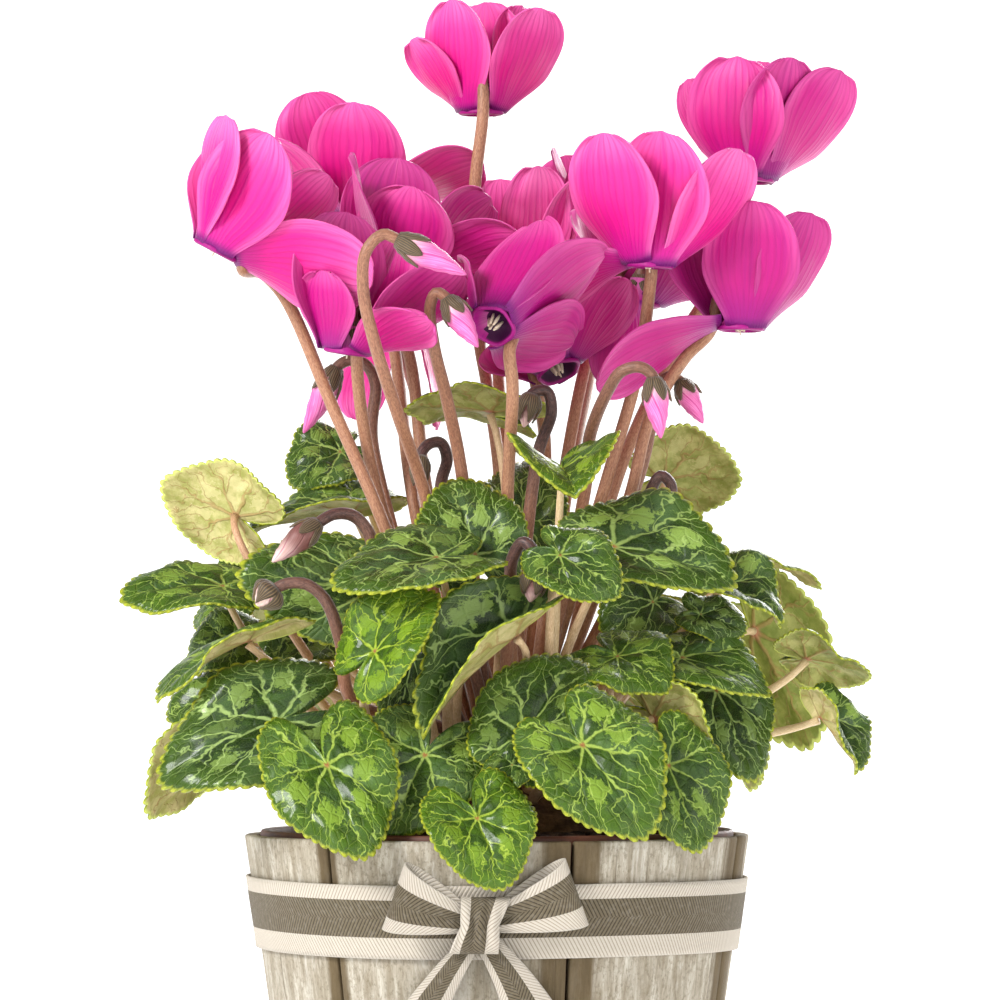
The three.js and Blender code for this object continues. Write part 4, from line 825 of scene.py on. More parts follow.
def leaf_pattern_group():
    """A leaf's veins, pale blotches, mottling, margin and mottled height, from the place on its
    outline."""
    tree, n, given, out = shader_group(
        "leaf pattern", {"seed": "Float"},
        {"veins": "Float", "net": "Float", "blotch": "Float", "margin": "Float", "height": "Float"})
    flat = n.uv("flat")
    x, y, _ = n.split(flat)
    turn, share, _ = n.split(n.uv("rim"))
    radius = n.math("SQRT", n.math("ADD", n.math("MULTIPLY", x, x), n.math("MULTIPLY", y, y)))
    seeded = n.put("ShaderNodeVectorMath", operation="ADD")
    n.join(flat, seeded.inputs[0])
    n.join(n.vector(given["seed"], given["seed"]), seeded.inputs[1])
    place_on = seeded.outputs[0]

    drift = n.math("SUBTRACT", n.noise(place_on, 3.2, 3), 0.5)
    kink = n.math("MULTIPLY", n.math("SUBTRACT", n.noise(place_on, 13, 2), 0.5), 0.05)
    angle = n.math("ADD", n.math("MULTIPLY", turn, HALF_TURN), n.math("MULTIPLY", drift, 0.75))
    off_vein = n.math("MULTIPLY", n.math("PINGPONG", angle, MAIN_VEIN_STEP / 2), radius)
    vein_place = n.math("ADD", n.math("DIVIDE", angle, MAIN_VEIN_STEP), 20.5)
    vein = n.put("ShaderNodeTexWhiteNoise", noise_dimensions="1D")
    n.join(n.math("ADD", n.math("FLOOR", vein_place), given["seed"]), vein.inputs["W"])
    early = n.math("MULTIPLY", vein.outputs["Value"], 0.14)
    bent = n.math("ADD", off_vein, kink)

    def line(offset, width, soft):
        gap = n.math("ABSOLUTE", offset)
        return n.math("SUBTRACT", 1, n.smooth(n.math("MULTIPLY", width, soft), width, gap))

    def fork(start, slope):
        run = n.math("MAXIMUM", n.math("SUBTRACT", radius, n.math("ADD", start, early)), 0)
        return n.math("SUBTRACT", bent, n.math("MULTIPLY", run, slope))

    width = n.math("SUBTRACT", 0.031, n.math("MULTIPLY", share, 0.019))
    slim = n.math("MULTIPLY", width, 0.72)
    main = line(n.math("ADD", off_vein, n.math("MULTIPLY", kink, 0.4)), width, 0.3)
    first = line(fork(0.26, 0.62), slim, 0.25)
    second = n.math("MULTIPLY", line(fork(0.5, 0.7), slim, 0.25), n.smooth(0.48, 0.56, radius))
    third = n.math("MULTIPLY", line(fork(0.68, 0.5), slim, 0.25), n.smooth(0.66, 0.74, radius))
    cells = n.put("ShaderNodeTexVoronoi", feature="DISTANCE_TO_EDGE", voronoi_dimensions="2D")
    n.join(place_on, cells.inputs["Vector"])
    cells.inputs["Scale"].default_value = 7.5
    cross = n.math("MULTIPLY", n.smooth(0.035, 0.008, cells.outputs["Distance"]), n.smooth(0.5, 0.75, share))
    small = n.math("MAXIMUM", n.math("MULTIPLY", second, 0.75), n.math("MULTIPLY", third, 0.5))
    small = n.math("MAXIMUM", small, n.math("MULTIPLY", cross, 0.25))
    veins = n.math("MAXIMUM", main, n.math("MAXIMUM", n.math("MULTIPLY", first, 0.9), small))
    n.join(veins, out["veins"])

    fine = n.put("ShaderNodeTexVoronoi", feature="DISTANCE_TO_EDGE", voronoi_dimensions="2D")
    n.join(place_on, fine.inputs["Vector"])
    fine.inputs["Scale"].default_value = 34
    n.join(n.smooth(0.12, 0.02, fine.outputs["Distance"]), out["net"])

    step_place = n.math("ADD", n.math("DIVIDE", angle, MAIN_VEIN_STEP), 20)
    cell = n.put("ShaderNodeTexWhiteNoise", noise_dimensions="1D")
    n.join(n.math("ADD", n.math("FLOOR", step_place), given["seed"]), cell.inputs["W"])
    chance = cell.outputs["Value"]
    off_middle = n.math("ABSOLUTE", n.math("SUBTRACT", n.math("FRACT", step_place), 0.5))
    across = n.math("DIVIDE", n.math("MULTIPLY", off_middle, radius), 0.16)
    centre = n.math("ADD", 0.46, n.math("MULTIPLY", chance, 0.18))
    along = n.math("DIVIDE", n.math("SUBTRACT", share, centre), 0.17)
    ring = n.math("SQRT", n.math("ADD", n.math("MULTIPLY", across, across), n.math("MULTIPLY", along, along)))
    tatter = n.math("SUBTRACT", n.noise(place_on, 12, 4, 0.75), 0.5)
    ragged = n.math("ADD", ring, n.math("MULTIPLY", tatter, 3.2))
    blotch = n.math("MULTIPLY", n.smooth(1.0, 0.78, ragged), n.smooth(0.1, 0.3, chance))
    flecks = n.smooth(0.6, 0.68, n.noise(place_on, 11, 3, 0.6))
    outer = n.math("MULTIPLY", n.smooth(0.5, 0.66, share), n.smooth(0.93, 0.8, share))
    flecks = n.math("MULTIPLY", flecks, outer)
    n.join(n.math("MAXIMUM", blotch, n.math("MULTIPLY", flecks, 0.8)), out["blotch"])

    n.join(n.smooth(0.955, 0.985, share), out["margin"])
    pucker = n.math("MULTIPLY", n.smooth(0, 0.16, cells.outputs["Distance"]), 0.6)
    quilt = n.math("ADD", pucker, n.math("MULTIPLY", n.smooth(0, 0.1, fine.outputs["Distance"]), 0.25))
    n.join(n.math("SUBTRACT", quilt, n.math("MULTIPLY", veins, 0.35)), out["height"])
    return tree


LEAF_PATTERN = leaf_pattern_group()


def turn_of(n):
    """Where round the joint a leaf's place lies, from -1 to 1."""
    return n.split(n.uv("rim"))[0]


def leaf_top_material():
    """Green with light veins, pale blotches between them, a bright beaded margin and a pinkish
    joint."""
    material, n, shader = new_material(
        "leaf upper side", 0.4, Specular_IOR_Level=0.2, Coat_Weight=0.22, Coat_Roughness=0.14)
    tone = n.value("tone")
    silver = n.value("mark")
    seed = n.math("ADD", n.math("MULTIPLY", tone, 7.3), n.math("MULTIPLY", silver, 11.9))
    pattern = use_group(n, LEAF_PATTERN, seed=seed)
    share = n.split(n.uv("rim"))[1]
    mottle = n.noise(n.uv("flat"), 5, 4, 0.6)

    # Tone picks between darker and lighter greens: partly the leaf's own colour, partly painted shade and light.
    dark = n.mix(tone, rgb(11, 28, 4), rgb(34, 62, 1))
    mid = n.mix(tone, rgb(36, 62, 7), rgb(76, 110, 3))
    green = n.mix(n.smooth(0.35, 0.7, mottle), dark, mid)
    green = n.mix(n.math("MULTIPLY", n.smooth(0.6, 0.97, share), 0.6), green, n.mix(tone, rgb(66, 94, 8), mid))
    haze = n.math("MULTIPLY", n.smooth(0.42, 0.62, n.noise(n.uv("flat"), 2.4, 2)), silver)
    green = n.mix(n.math("MULTIPLY", haze, 0.35), green, rgb(86, 112, 76))
    pale = n.mix(tone, rgb(126, 150, 78), rgb(130, 162, 24))
    green = n.mix(n.math("MULTIPLY", pattern["net"], 0.1), green, pale)
    spots = n.math("MULTIPLY", pattern["blotch"], n.math("ADD", 0.25, n.math("MULTIPLY", silver, 0.7)))
    green = n.mix(spots, green, pale)
    light = n.mix(tone, rgb(148, 172, 104), rgb(158, 180, 50))
    green = n.mix(n.math("MULTIPLY", pattern["veins"], 0.86), green, light)
    green = n.mix(n.smooth(0.06, 0.015, share), green, rgb(150, 104, 60))
    beads = n.smooth(0.1, 0.8, n.math("COSINE", n.math("MULTIPLY", turn_of(n), HALF_TURN * TOOTH_COUNT)))
    edge = n.math("MULTIPLY", pattern["margin"], n.math("ADD", 0.55, n.math("MULTIPLY", beads, 0.45)))
    green = n.mix(edge, green, rgb(170, 176, 46))
    n.join(green, shader["Base Color"])
    grain = n.noise(n.spot(), 900, 2)
    n.join(n.math("ADD", 0.34, n.math("MULTIPLY", grain, 0.2)), shader["Roughness"])
    height = n.math("ADD", pattern["height"], n.math("MULTIPLY", grain, 0.08))
    n.join(n.bump(height, 0.6, 0.0009), shader["Normal"])
    return material


def leaf_under_material():
    """The pale underside, with thin raised reddish veins and darker mottles that shine through."""
    material, n, shader = new_material("leaf underside", 0.62, Specular_IOR_Level=0.35)
    tone = n.value("tone")
    silver = n.value("mark")
    seed = n.math("ADD", n.math("MULTIPLY", tone, 7.3), n.math("MULTIPLY", silver, 11.9))
    pattern = use_group(n, LEAF_PATTERN, seed=seed)
    share = n.split(n.uv("rim"))[1]
    mottle = n.smooth(0.35, 0.7, n.noise(n.uv("flat"), 4, 4, 0.6))
    # Tone is partly painted light and shade here too, as on the upper side.
    fair = n.math("MAXIMUM", tone, n.smooth(0.7, 0.9, silver))
    pale = n.mix(fair, rgb(134, 148, 46), rgb(202, 188, 136))
    green = n.mix(mottle, n.mix(fair, rgb(84, 106, 16), rgb(154, 152, 80)), pale)
    green = n.mix(n.math("MULTIPLY", pattern["blotch"], 0.45), green, n.mix(fair, rgb(160, 160, 84), rgb(212, 198, 150)))
    green = n.mix(n.math("MULTIPLY", pattern["net"], 0.12), green, rgb(110, 116, 44))
    green = n.mix(n.math("MULTIPLY", pattern["veins"], 0.55), green, rgb(150, 112, 66))
    green = n.mix(n.smooth(0.12, 0.02, share), green, rgb(172, 112, 84))
    green = n.mix(pattern["margin"], green, rgb(190, 200, 100))
    n.join(green, shader["Base Color"])
    height = n.math("ADD", n.math("MULTIPLY", pattern["veins"], 1.0), n.math("MULTIPLY", mottle, 0.2))
    n.join(n.bump(height, 0.5, 0.0008), shader["Normal"])
    return material


def stalk_speckle_group():
    """The fine lengthwise streaks and the short speckles of a stalk, from the place along it."""
    tree, n, given, out = shader_group(
        "stalk speckle", {"seed": "Float"}, {"speckle": "Float", "streak": "Float", "drift": "Float"})
    around, along, _ = n.split(n.uv("flat"))
    angle = n.math("MULTIPLY", around, TURN)
    run = n.math("ADD", n.math("MULTIPLY", along, 160), given["seed"])
    ring = n.vector(n.math("COSINE", angle), n.math("SINE", angle), run)
    n.join(n.noise(ring, 5.5, 4, 0.65), out["speckle"])
    n.join(n.noise(n.stretch(ring, (1.5, 1.5, 0.12)), 2.2, 2), out["streak"])
    n.join(n.noise(ring, 0.6, 2), out["drift"])
    return tree


STALK_SPECKLE = stalk_speckle_group()


def petiole_material():
    """Pinkish brown below the blade, tan to cream towards the root."""
    material, n, shader = new_material("petiole skin", 0.45, Specular_IOR_Level=0.45)
    tan = n.value("tone")
    _, along, _ = n.split(n.uv("flat"))
    skin_marks = use_group(n, STALK_SPECKLE)
    speckle = skin_marks["speckle"]
    low = n.mix(n.smooth(0.35, 0.65, speckle), rgb(160, 112, 84), rgb(204, 160, 124))
    pale = n.mix(n.smooth(0.3, 0.7, speckle), rgb(196, 166, 122), rgb(226, 204, 164))
    patchy_tan = n.math("ADD", tan, n.math("MULTIPLY", skin_marks["drift"], 0.3))
    skin = n.mix(n.smooth(0.1, 0.75, patchy_tan), low, pale)
    skin = n.mix(n.math("MULTIPLY", n.smooth(0.03, 0.0, along), 0.55), skin, rgb(118, 62, 56))
    n.join(skin, shader["Base Color"])
    n.join(n.bump(speckle, 0.3, 0.0003), shader["Normal"])
    return material


def stem_material():
    """Terracotta brown with fine speckles, purple brown and downy on the young hooks, and darker near the root, where
    the darkening is painted shade.
    """
    material, n, shader = new_material(
        "flower stem skin", 0.48, Specular_IOR_Level=0.45, Sheen_Weight=0.25, Sheen_Roughness=0.4)
    young = n.value("mark")
    tone = n.value("tone")
    skin_marks = use_group(n, STALK_SPECKLE)
    speckle = skin_marks["speckle"]
    warm = n.mix(n.smooth(0.3, 0.68, speckle), rgb(128, 80, 60), rgb(172, 122, 92))
    fair = n.mix(n.smooth(0.3, 0.68, speckle), rgb(176, 134, 92), rgb(224, 188, 142))
    skin = n.mix(tone, warm, fair)
    skin = n.mix(n.math("MULTIPLY", n.smooth(0.5, 0.75, skin_marks["streak"]), 0.35), skin, rgb(124, 70, 50))
    # The mark darkens the young hooks, which is their own colour, and the stems near the root, which is painted shade.
    dark = n.mix(n.smooth(0.35, 0.7, speckle), rgb(46, 26, 26), rgb(98, 66, 58))
    skin = n.mix(young, skin, dark)
    n.join(skin, shader["Base Color"])
    n.join(n.bump(speckle, 0.35, 0.0003), shader["Normal"])
    return material


def calyx_material():
    """Dark brown green with pale stripes along each sepal."""
    material, n, shader = new_material("calyx", 0.55, Specular_IOR_Level=0.4, Sheen_Weight=0.2)
    across, along, _ = n.split(n.uv("flat"))
    ridges = n.math("PINGPONG", n.math("MULTIPLY", across, 7), 1)
    wobble = n.noise(n.vector(n.math("MULTIPLY", across, 14), n.math("MULTIPLY", along, 5)), 1, 3)
    stripe = n.smooth(0.45, 0.85, n.math("ADD", n.math("MULTIPLY", ridges, 0.75), n.math("MULTIPLY", wobble, 0.35)))
    green = n.mix(wobble, rgb(32, 22, 14), rgb(72, 56, 32))
    n.join(n.mix(n.math("MULTIPLY", stripe, 0.42), green, rgb(150, 124, 84)), shader["Base Color"])
    n.join(n.bump(ridges, 0.4, 0.0003), shader["Normal"])
    return material


def petal_material():
    """Magenta, purple at the mouth, paler towards the tip and the edge, with fine veins. How deep or pale each bloom is
    comes from painted light and shade, and so does part of its paler tip and edge.
    """
    material, n, shader = new_material(
        "petal", 0.45, Specular_IOR_Level=0.25, Sheen_Weight=0.12, Sheen_Roughness=0.35)
    shader["Sheen Tint"].default_value = rgb(255, 190, 235)
    across, along, _ = n.split(n.uv("flat"))
    # The tone is the bloom's painted light: high on blooms in the light, low on blooms in shade.
    light = n.value("tone")
    seed = n.value("mark")
    spread = n.vector(n.math("MULTIPLY", across, 15), n.math("MULTIPLY", along, 1.5), seed)
    wander = n.math("MULTIPLY", n.math("SUBTRACT", n.noise(n.vector(across, along, seed), 3.5, 3), 0.5), 0.22)
    lean = n.math("MULTIPLY", n.math("MULTIPLY", across, along), 0.35)
    fan = n.math("ADD", n.math("SUBTRACT", across, lean), n.math("MULTIPLY", wander, 0.5))
    veins = n.smooth(0.3, 0.0, n.math("PINGPONG", n.math("MULTIPLY", fan, 8), 0.5))
    streaks = n.noise(spread, 1.2, 4, 0.6)
    edge = n.math("ADD", n.smooth(0.62, 1.0, n.math("ABSOLUTE", across)), n.smooth(0.72, 1.02, along), clamp=True)
    # Each colour has a shaded and a lit copy, chosen by the painted light.
    deep = n.mix(n.smooth(0.0, 0.5, light), rgb(132, 4, 108), rgb(172, 4, 120))
    full = n.mix(n.smooth(0.0, 0.5, light), rgb(166, 6, 108), rgb(206, 14, 122))
    fair = n.mix(n.smooth(0.2, 0.9, light), rgb(206, 40, 138), rgb(232, 92, 168))
    base = n.mix(n.smooth(0.0, 0.38, along), deep, full)
    # The paler tip is partly the petal's own colour and partly painted light.
    tip_pale_and_painted_light = n.math("ADD", 0.35, n.math("MULTIPLY", light, 0.6))
    base = n.mix(n.math("MULTIPLY", n.smooth(0.35, 0.95, along), tip_pale_and_painted_light), base, fair)
    # The pale border is partly the petal's own paler edge and partly a painted highlight that grows with the painted
    # light.
    edge_pale_and_painted_highlight = n.math("ADD", 0.16, n.math("MULTIPLY", light, 0.36))
    base = n.mix(n.math("MULTIPLY", edge, edge_pale_and_painted_highlight), base, rgb(240, 136, 196))
    base = n.mix(n.math("MULTIPLY", n.smooth(0.4, 0.75, streaks), 0.45), base, deep)
    base = n.mix(n.math("MULTIPLY", veins, 0.24), base, rgb(146, 0, 92))
    base = n.mix(n.smooth(0.09, 0.0, along), base, rgb(104, 6, 96))
    n.join(base, shader["Base Color"])
    ridge = n.math("ADD", n.math("MULTIPLY", veins, 0.5), n.math("MULTIPLY", streaks, 0.6))
    n.join(n.bump(ridge, 0.35, 0.0005), shader["Normal"])
    return material


def tube_material():
    """The mouth and tube: deep purple, lighter outside under the calyx, with a dark throat."""
    material, n, shader = new_material("bloom tube", 0.5, Specular_IOR_Level=0.3)
    around, height, _ = n.split(n.uv("flat"))
    pale = n.value("tone")
    lines = n.noise(n.vector(n.math("MULTIPLY", around, 30), height, 0), 1.6, 3)
    skin = n.mix(n.smooth(0.0, 0.8, height), rgb(150, 8, 112), rgb(186, 36, 138))
    skin = n.mix(n.math("MULTIPLY", pale, n.smooth(0.1, 0.6, height)), skin, rgb(222, 186, 214))
    skin = n.mix(n.math("MULTIPLY", n.smooth(0.45, 0.75, lines), 0.4), skin, rgb(96, 0, 92))
    skin = n.mix(n.smooth(0.02, -0.25, height), skin, rgb(52, 6, 50))
    n.join(skin, shader["Base Color"])
    n.join(n.bump(lines, 0.3, 0.0003), shader["Normal"])
    return material


def bud_material():
    """Rolled petals of a bud: deep pink over the back, pale towards the tip and along the folds."""
    material, n, shader = new_material("bud petals", 0.45, Specular_IOR_Level=0.35)
    around, along, _ = n.split(n.uv("flat"))
    pink = n.value("tone")
    twist = n.math("ADD", n.math("MULTIPLY", around, 5), n.math("MULTIPLY", along, 1.6))
    folds = n.math("PINGPONG", twist, 0.5)
    seam = n.smooth(0.09, 0.0, folds)
    lines = n.noise(n.vector(n.math("MULTIPLY", twist, 7), along, 0), 2, 3)
    pale = n.mix(n.smooth(0.3, 0.75, lines), rgb(222, 190, 172), rgb(240, 214, 210))
    rose = n.mix(n.smooth(0.3, 0.75, lines), rgb(204, 56, 148), rgb(232, 120, 190))
    skin = n.mix(n.math("MULTIPLY", pink, n.smooth(0.0, 0.5, along)), pale, rose)
    skin = n.mix(n.math("MULTIPLY", seam, 0.6), skin, rgb(196, 30, 130))
    unripe = n.math("MULTIPLY", n.smooth(0.72, 0.9, n.value("mark")), n.smooth(1.0, 0.45, along))
    skin = n.mix(unripe, skin, n.mix(lines, rgb(74, 36, 38), rgb(148, 100, 92)))
    n.join(skin, shader["Base Color"])
    height = n.math("SUBTRACT", n.math("MULTIPLY", lines, 0.3), seam)
    n.join(n.bump(height, 0.5, 0.0005), shader["Normal"])
    return material


def stamen_material():
    material, n, shader = new_material("stamens", 0.5)
    grain = n.noise(n.spot(), 2500, 2)
    n.join(n.mix(grain, rgb(236, 224, 214), rgb(196, 168, 120)), shader["Base Color"])
    n.join(n.bump(grain, 0.4, 0.0002), shader["Normal"])
    return material


LEAF_TOP = leaf_top_material()
LEAF_UNDER = leaf_under_material()
PETIOLE_SKIN = petiole_material()
STEM_SKIN = stem_material()
CALYX = calyx_material()
PETAL = petal_material()
BLOOM_TUBE = tube_material()
BUD_PETALS = bud_material()
STAMENS = stamen_material()


# Roots: the places on the tuber where leaf clusters and stem bunches begin, spread as the solids' are
ROOT_LIFT = FIT
ROOT_ROUNDS = 60
ROOT_MARGIN = 0.35
STUB_HEIGHT = 3
STUB_SIDES = 7
ROD_RING_RADIUS = [0, 0, 2.3, 2.7, 3.3, 4, 4.7, 5.4]


def stub_radius(count):
    if count == 1:
        return STEM_RADIUS
    return (STEM_RADIUS + ROD_RING_RADIUS[count]) / math.cos(HALF_TURN / STUB_SIDES) + 0.3


def tuber_point(azimuth, distance):
    x = distance * math.sin(azimuth)
    y = -distance * math.cos(azimuth)
    rise = TUBER_HALF_HEIGHT * math.sqrt(1 - (distance / TUBER_RADIUS) ** 2)
    out = Vector((x / TUBER_RADIUS**2, y / TUBER_RADIUS**2, rise / TUBER_HALF_HEIGHT**2)).normalized()
    return Vector((x, y, TUBER_CENTRE + rise)), out


def spread_roots(wanted):
    roots = []
    for (azimuth, distance), count in wanted:
        turn = math.radians(azimuth)
        roots.append([distance * math.sin(turn), -distance * math.cos(turn), stub_radius(count) + ROOT_MARGIN])
    for _ in range(ROOT_ROUNDS):
        for i, one in enumerate(roots):
            for other in roots[i + 1:]:
                gap = math.hypot(other[0] - one[0], other[1] - one[1])
                push = (one[2] + other[2] - gap) / 2
                if push > 0:
                    step_x = (other[0] - one[0]) / gap * push
                    step_y = (other[1] - one[1]) / gap * push
                    one[0] -= step_x
                    one[1] -= step_y
                    other[0] += step_x
                    other[1] += step_y
        for root in roots:
            distance = math.hypot(root[0], root[1])
            limit = TUBER_RADIUS - root[2] * 0.8
            if distance > limit:
                root[0] *= limit / distance
                root[1] *= limit / distance
    return [tuber_point(math.atan2(x, -y), math.hypot(x, y)) for x, y, _ in roots]


def root_frame(base):
    point, out = base
    middle = point + out * ROOT_LIFT
    across = (Vector((1, 0, 0)) - out * out.x).normalized()
    return middle, across, out.cross(across), out


def rod_starts(base, targets):
    """Where each rod of one root starts: on a small ring, each on the side that it goes to."""
    middle, across, along, out = root_frame(base)
    count = len(targets)
    if count == 1:
        return [middle]
    centre = sum(targets, Vector()) / count
    headings = [math.atan2((spot - centre).dot(along), (spot - centre).dot(across)) for spot in targets]
    order = sorted(range(count), key=lambda member: headings[member])
    step = TURN / count
    sines = sum(math.sin(headings[member] - step * rank) for rank, member in enumerate(order))
    cosines = sum(math.cos(headings[member] - step * rank) for rank, member in enumerate(order))
    first = math.atan2(sines, cosines)
    radius = ROD_RING_RADIUS[count]
    starts = [None] * count
    for rank, member in enumerate(order):
        angle = first + step * rank
        starts[member] = (middle + across * (radius * math.cos(angle)) + along * (radius * math.sin(angle))
                          + out * STUB_HEIGHT)
    return starts


def stub(base, count, material, tone):
    """The short round stub under the rods of one root."""
    middle, across, along, out = root_frame(base)
    radius = stub_radius(count) * 0.92
    bm = new_mesh()
    bmesh.ops.create_uvsphere(bm, u_segments=16, v_segments=8, radius=1)
    for vert in bm.verts:
        x, y, z = vert.co
        vert.co = middle + across * (x * radius) + along * (y * radius) + out * (z * STUB_HEIGHT + 0.6)
    for face in bm.faces:
        face.material_index = material
    set_values(bm, tone)
    set_uv(bm, lambda vert: (vert.co.x * MM, vert.co.z * MM))
    return bm


# Leaves

LEAF_SPOKES = 192
LEAF_RINGS = 11
TOOTH_DEPTH = 0.021
FOLD_EASE = 1e-3


def leaf_reach(angle, lobes):
    """A leaf's reach from the petiole's joint at an angle from the tip, for a length of 1: heart
    shaped, with a blunt point, drawn-in shoulders, round lobes and a notch."""
    turn = abs(angle)
    body = lobes + (1 - lobes) * math.cos(angle / 2) ** 2
    tip = 1 + 0.06 * math.exp(-((angle / 0.22) ** 2)) - 0.07 * math.exp(-(((turn - 0.72) / 0.34) ** 2))
    lobe = 1 + 0.09 * math.exp(-(((turn - 2.35) / 0.4) ** 2))
    notch = 1 - 0.92 * math.exp(-(((HALF_TURN - turn) / 0.3) ** 2))
    return body * tip * lobe * notch


def leaf_frame(leaf):
    start = place(leaf["joint"])
    along = place(leaf["tip"]) - start
    length = along.length
    along.normalize()
    up = Vector(leaf["face"])
    up = (up - along * up.dot(along)).normalized()
    return start, along, up, up.cross(along), length


def leaf_surface(leaf):
    """The middle surface of a leaf over its flat outline, folded, curled and waved."""
    start, along, up, side, length = leaf_frame(leaf)
    lobes = leaf.get("lobes", 0.5)
    folds = leaf.get("fold", (0, 0))
    curls = leaf.get("curl", (0, 0))
    wave = leaf.get("wave", 0.8)
    width = leaf["width"]
    half = width / 2
    spread = width / (length * (1 + lobes))
    bend = leaf.get("bend", -0.3) / length + FOLD_EASE / length
    drift = Vector(leaf["joint"])

    crease = 0.12 + 0.2 * ((drift.x * 0.371 + drift.z * 0.173) % 1)
    phase = drift.x * 0.7 + drift.z

    def surface(x, y, angle, share):
        run = y * length
        reach = abs(x) * length * spread
        which = 0 if x < 0 else 1
        turn = curls[which] + FOLD_EASE
        begin = folds[which]
        end = begin + turn * reach / half
        across = half / turn * (math.sin(end) - math.sin(begin))
        ripple = wave * math.sin(5 * angle + 1) * share**3
        ruffle = 1.5 * math.sin(3 * angle + phase) * smooth(0.45, 1, share)
        raised_lobes = 2.6 * math.exp(-(((HALF_TURN - abs(angle)) / 0.7) ** 2)) * share * share
        edge_drop = -1.7 * smooth(0.72, 1.02, share) ** 2
        rib = abs((angle / MAIN_VEIN_STEP + 0.5) % 1 - 0.5) * 2
        quilt = 0.9 * math.sqrt(rib) * smooth(0.05, 0.4, share) * (1 - 0.6 * smooth(0.6, 1, share))
        pucker = 1.3 * noise.noise(Vector((x * 3.4, y * 3.4, 0)) + drift) * smooth(0.1, 0.6, share)
        lift = half / turn * (math.cos(begin) - math.cos(end)) + ripple + quilt + pucker
        lift += ruffle + raised_lobes + edge_drop + crease * (reach - 0.3 * half * share)
        tilt = bend * run
        return (start + along * (math.sin(tilt) / bend - math.sin(tilt) * lift)
                + up * ((1 - math.cos(tilt)) / bend + math.cos(tilt) * lift)
                + side * (across if which == 0 else -across))

    return surface


def leaf_blade(leaf):
    """A blade is a grid whose rows run round the joint and whose columns run out to the toothed
    edge."""
    lobes = leaf.get("lobes", 0.5)
    surface = leaf_surface(leaf)
    bm = grid(LEAF_RINGS, LEAF_SPOKES)
    flat = bm.loops.layers.uv["flat"]
    rim = bm.loops.layers.uv["rim"]
    drift = Vector(leaf["joint"]) * 0.37

    def spot(vert):
        angle = HALF_TURN * vert.co.y
        share = (vert.co.x + 1) / 2
        return angle, share

    places = {}
    for vert in bm.verts:
        angle, share = spot(vert)
        uneven = 1 + 0.035 * noise.noise(Vector((math.cos(angle) * 2, math.sin(angle) * 2, 0)) + drift)
        tooth = abs(math.cos(angle * TOOTH_COUNT / 2)) ** 0.7 - 0.5
        grown = share * uneven * (1 + TOOTH_DEPTH * 2 * tooth * smooth(0.86, 1, share))
        reach = leaf_reach(angle, lobes) * grown
        places[vert] = (reach * math.sin(angle), reach * math.cos(angle), angle, share)
    for face in bm.faces:
        for loop in face.loops:
            x, y, angle, share = places[loop.vert]
            loop[flat].uv = (x, y)
            loop[rim].uv = (angle / HALF_TURN, share)
    for vert, (x, y, angle, share) in places.items():
        vert.co = surface(x, y, angle, share)
    bmesh.ops.remove_doubles(bm, verts=bm.verts[:], dist=0.002)
    bmesh.ops.recalc_face_normals(bm, faces=bm.faces[:])
    up = leaf_frame(leaf)[2]
    bm.normal_update()
    if sum(face.normal.dot(up) * face.calc_area() for face in bm.faces) < 0:
        bmesh.ops.reverse_faces(bm, faces=bm.faces[:])
    thicken(bm, BLADE_THICKNESS, 1)
    set_values(bm, leaf.get("tone", 0.4), leaf.get("silver", 0.3))
    return bm


def petiole_path(leaf, start, out):
    joint, along, up, side, _ = leaf_frame(leaf)
    arrive = leaf.get("arrive", (0.35, 0, 0.75))
    gap = (joint - start).length
    end = joint - up * PETIOLE_SEAT
    entry = (along * arrive[0] + side * arrive[1] + up * arrive[2]).normalized()
    rise = leaf.get("rise", 0.38)
    reach = leaf.get("reach", 0.32)
    return bezier_path(start, start + out * (gap * rise), end - entry * (gap * reach), end)


def petiole(leaf, start, out):
    path = petiole_path(leaf, start, out)
    shares = [i / 26 for i in range(27)]

    def radius(share):
        return PETIOLE_RADIUS * (1 - 0.42 * share * share) * (1 + 0.35 * smooth(0.97, 1, share))

    return rod(path, radius, shares, 10, leaf.get("tan", 0.35), None, 2)


def add_leaves(bases):
    for (name, cluster), base in zip(LEAF_CLUSTERS.items(), bases):
        leaves = cluster[1]
        starts = rod_starts(base, [place(leaf["joint"]) for leaf in leaves])
        whole = new_mesh()
        if len(leaves) > 1:
            add_to(whole, stub(base, len(leaves), 2, 0.3))
        for leaf, start in zip(leaves, starts):
            add_to(whole, leaf_blade(leaf))
            add_to(whole, petiole(leaf, start, base[1]))
        finish_piece(name.replace("leaf", "grown_leaf").replace("leaves", "grown_leaves"), whole,
                     [LEAF_TOP, LEAF_UNDER, PETIOLE_SKIN], [name])


# Blooms

MOUTH_DEPTH = 4.5
TUBE_NECK_RADIUS = 3.3
STAMEN_COUNT = 7


class BloomFrame:
    """A bloom's mouth centre, its axis towards the petal tips, and the directions that an azimuth is
    counted from, towards the viewer first and then to the right."""

    def __init__(self, bloom):
        self.centre = place(bloom["mouth"])
        self.up = Vector(bloom["axis"]).normalized()
        front = Vector((0, -1, 0))
        self.front = (front - self.up * front.dot(self.up)).normalized()
        self.right = self.up.cross(self.front)

    def outward(self, azimuth):
        return self.front * math.cos(azimuth) + self.right * math.sin(azimuth)

    def at(self, azimuth, radius, height):
        return self.centre + self.outward(azimuth) * radius + self.up * height


def petal_breadth(t):
    """Half of a petal's width as a share of half its widest: narrow at the mouth, broad and blunt
    towards the tip."""
    widen = 0.42 + 0.58 * math.sin(HALF_TURN / 2 * min(max(t, 0) / 0.52, 1)) ** 1.3
    close = max(1 - max((t - 0.5) / 0.53, 0) ** 2.3, 0) ** 0.5
    return widen * close * 1.14


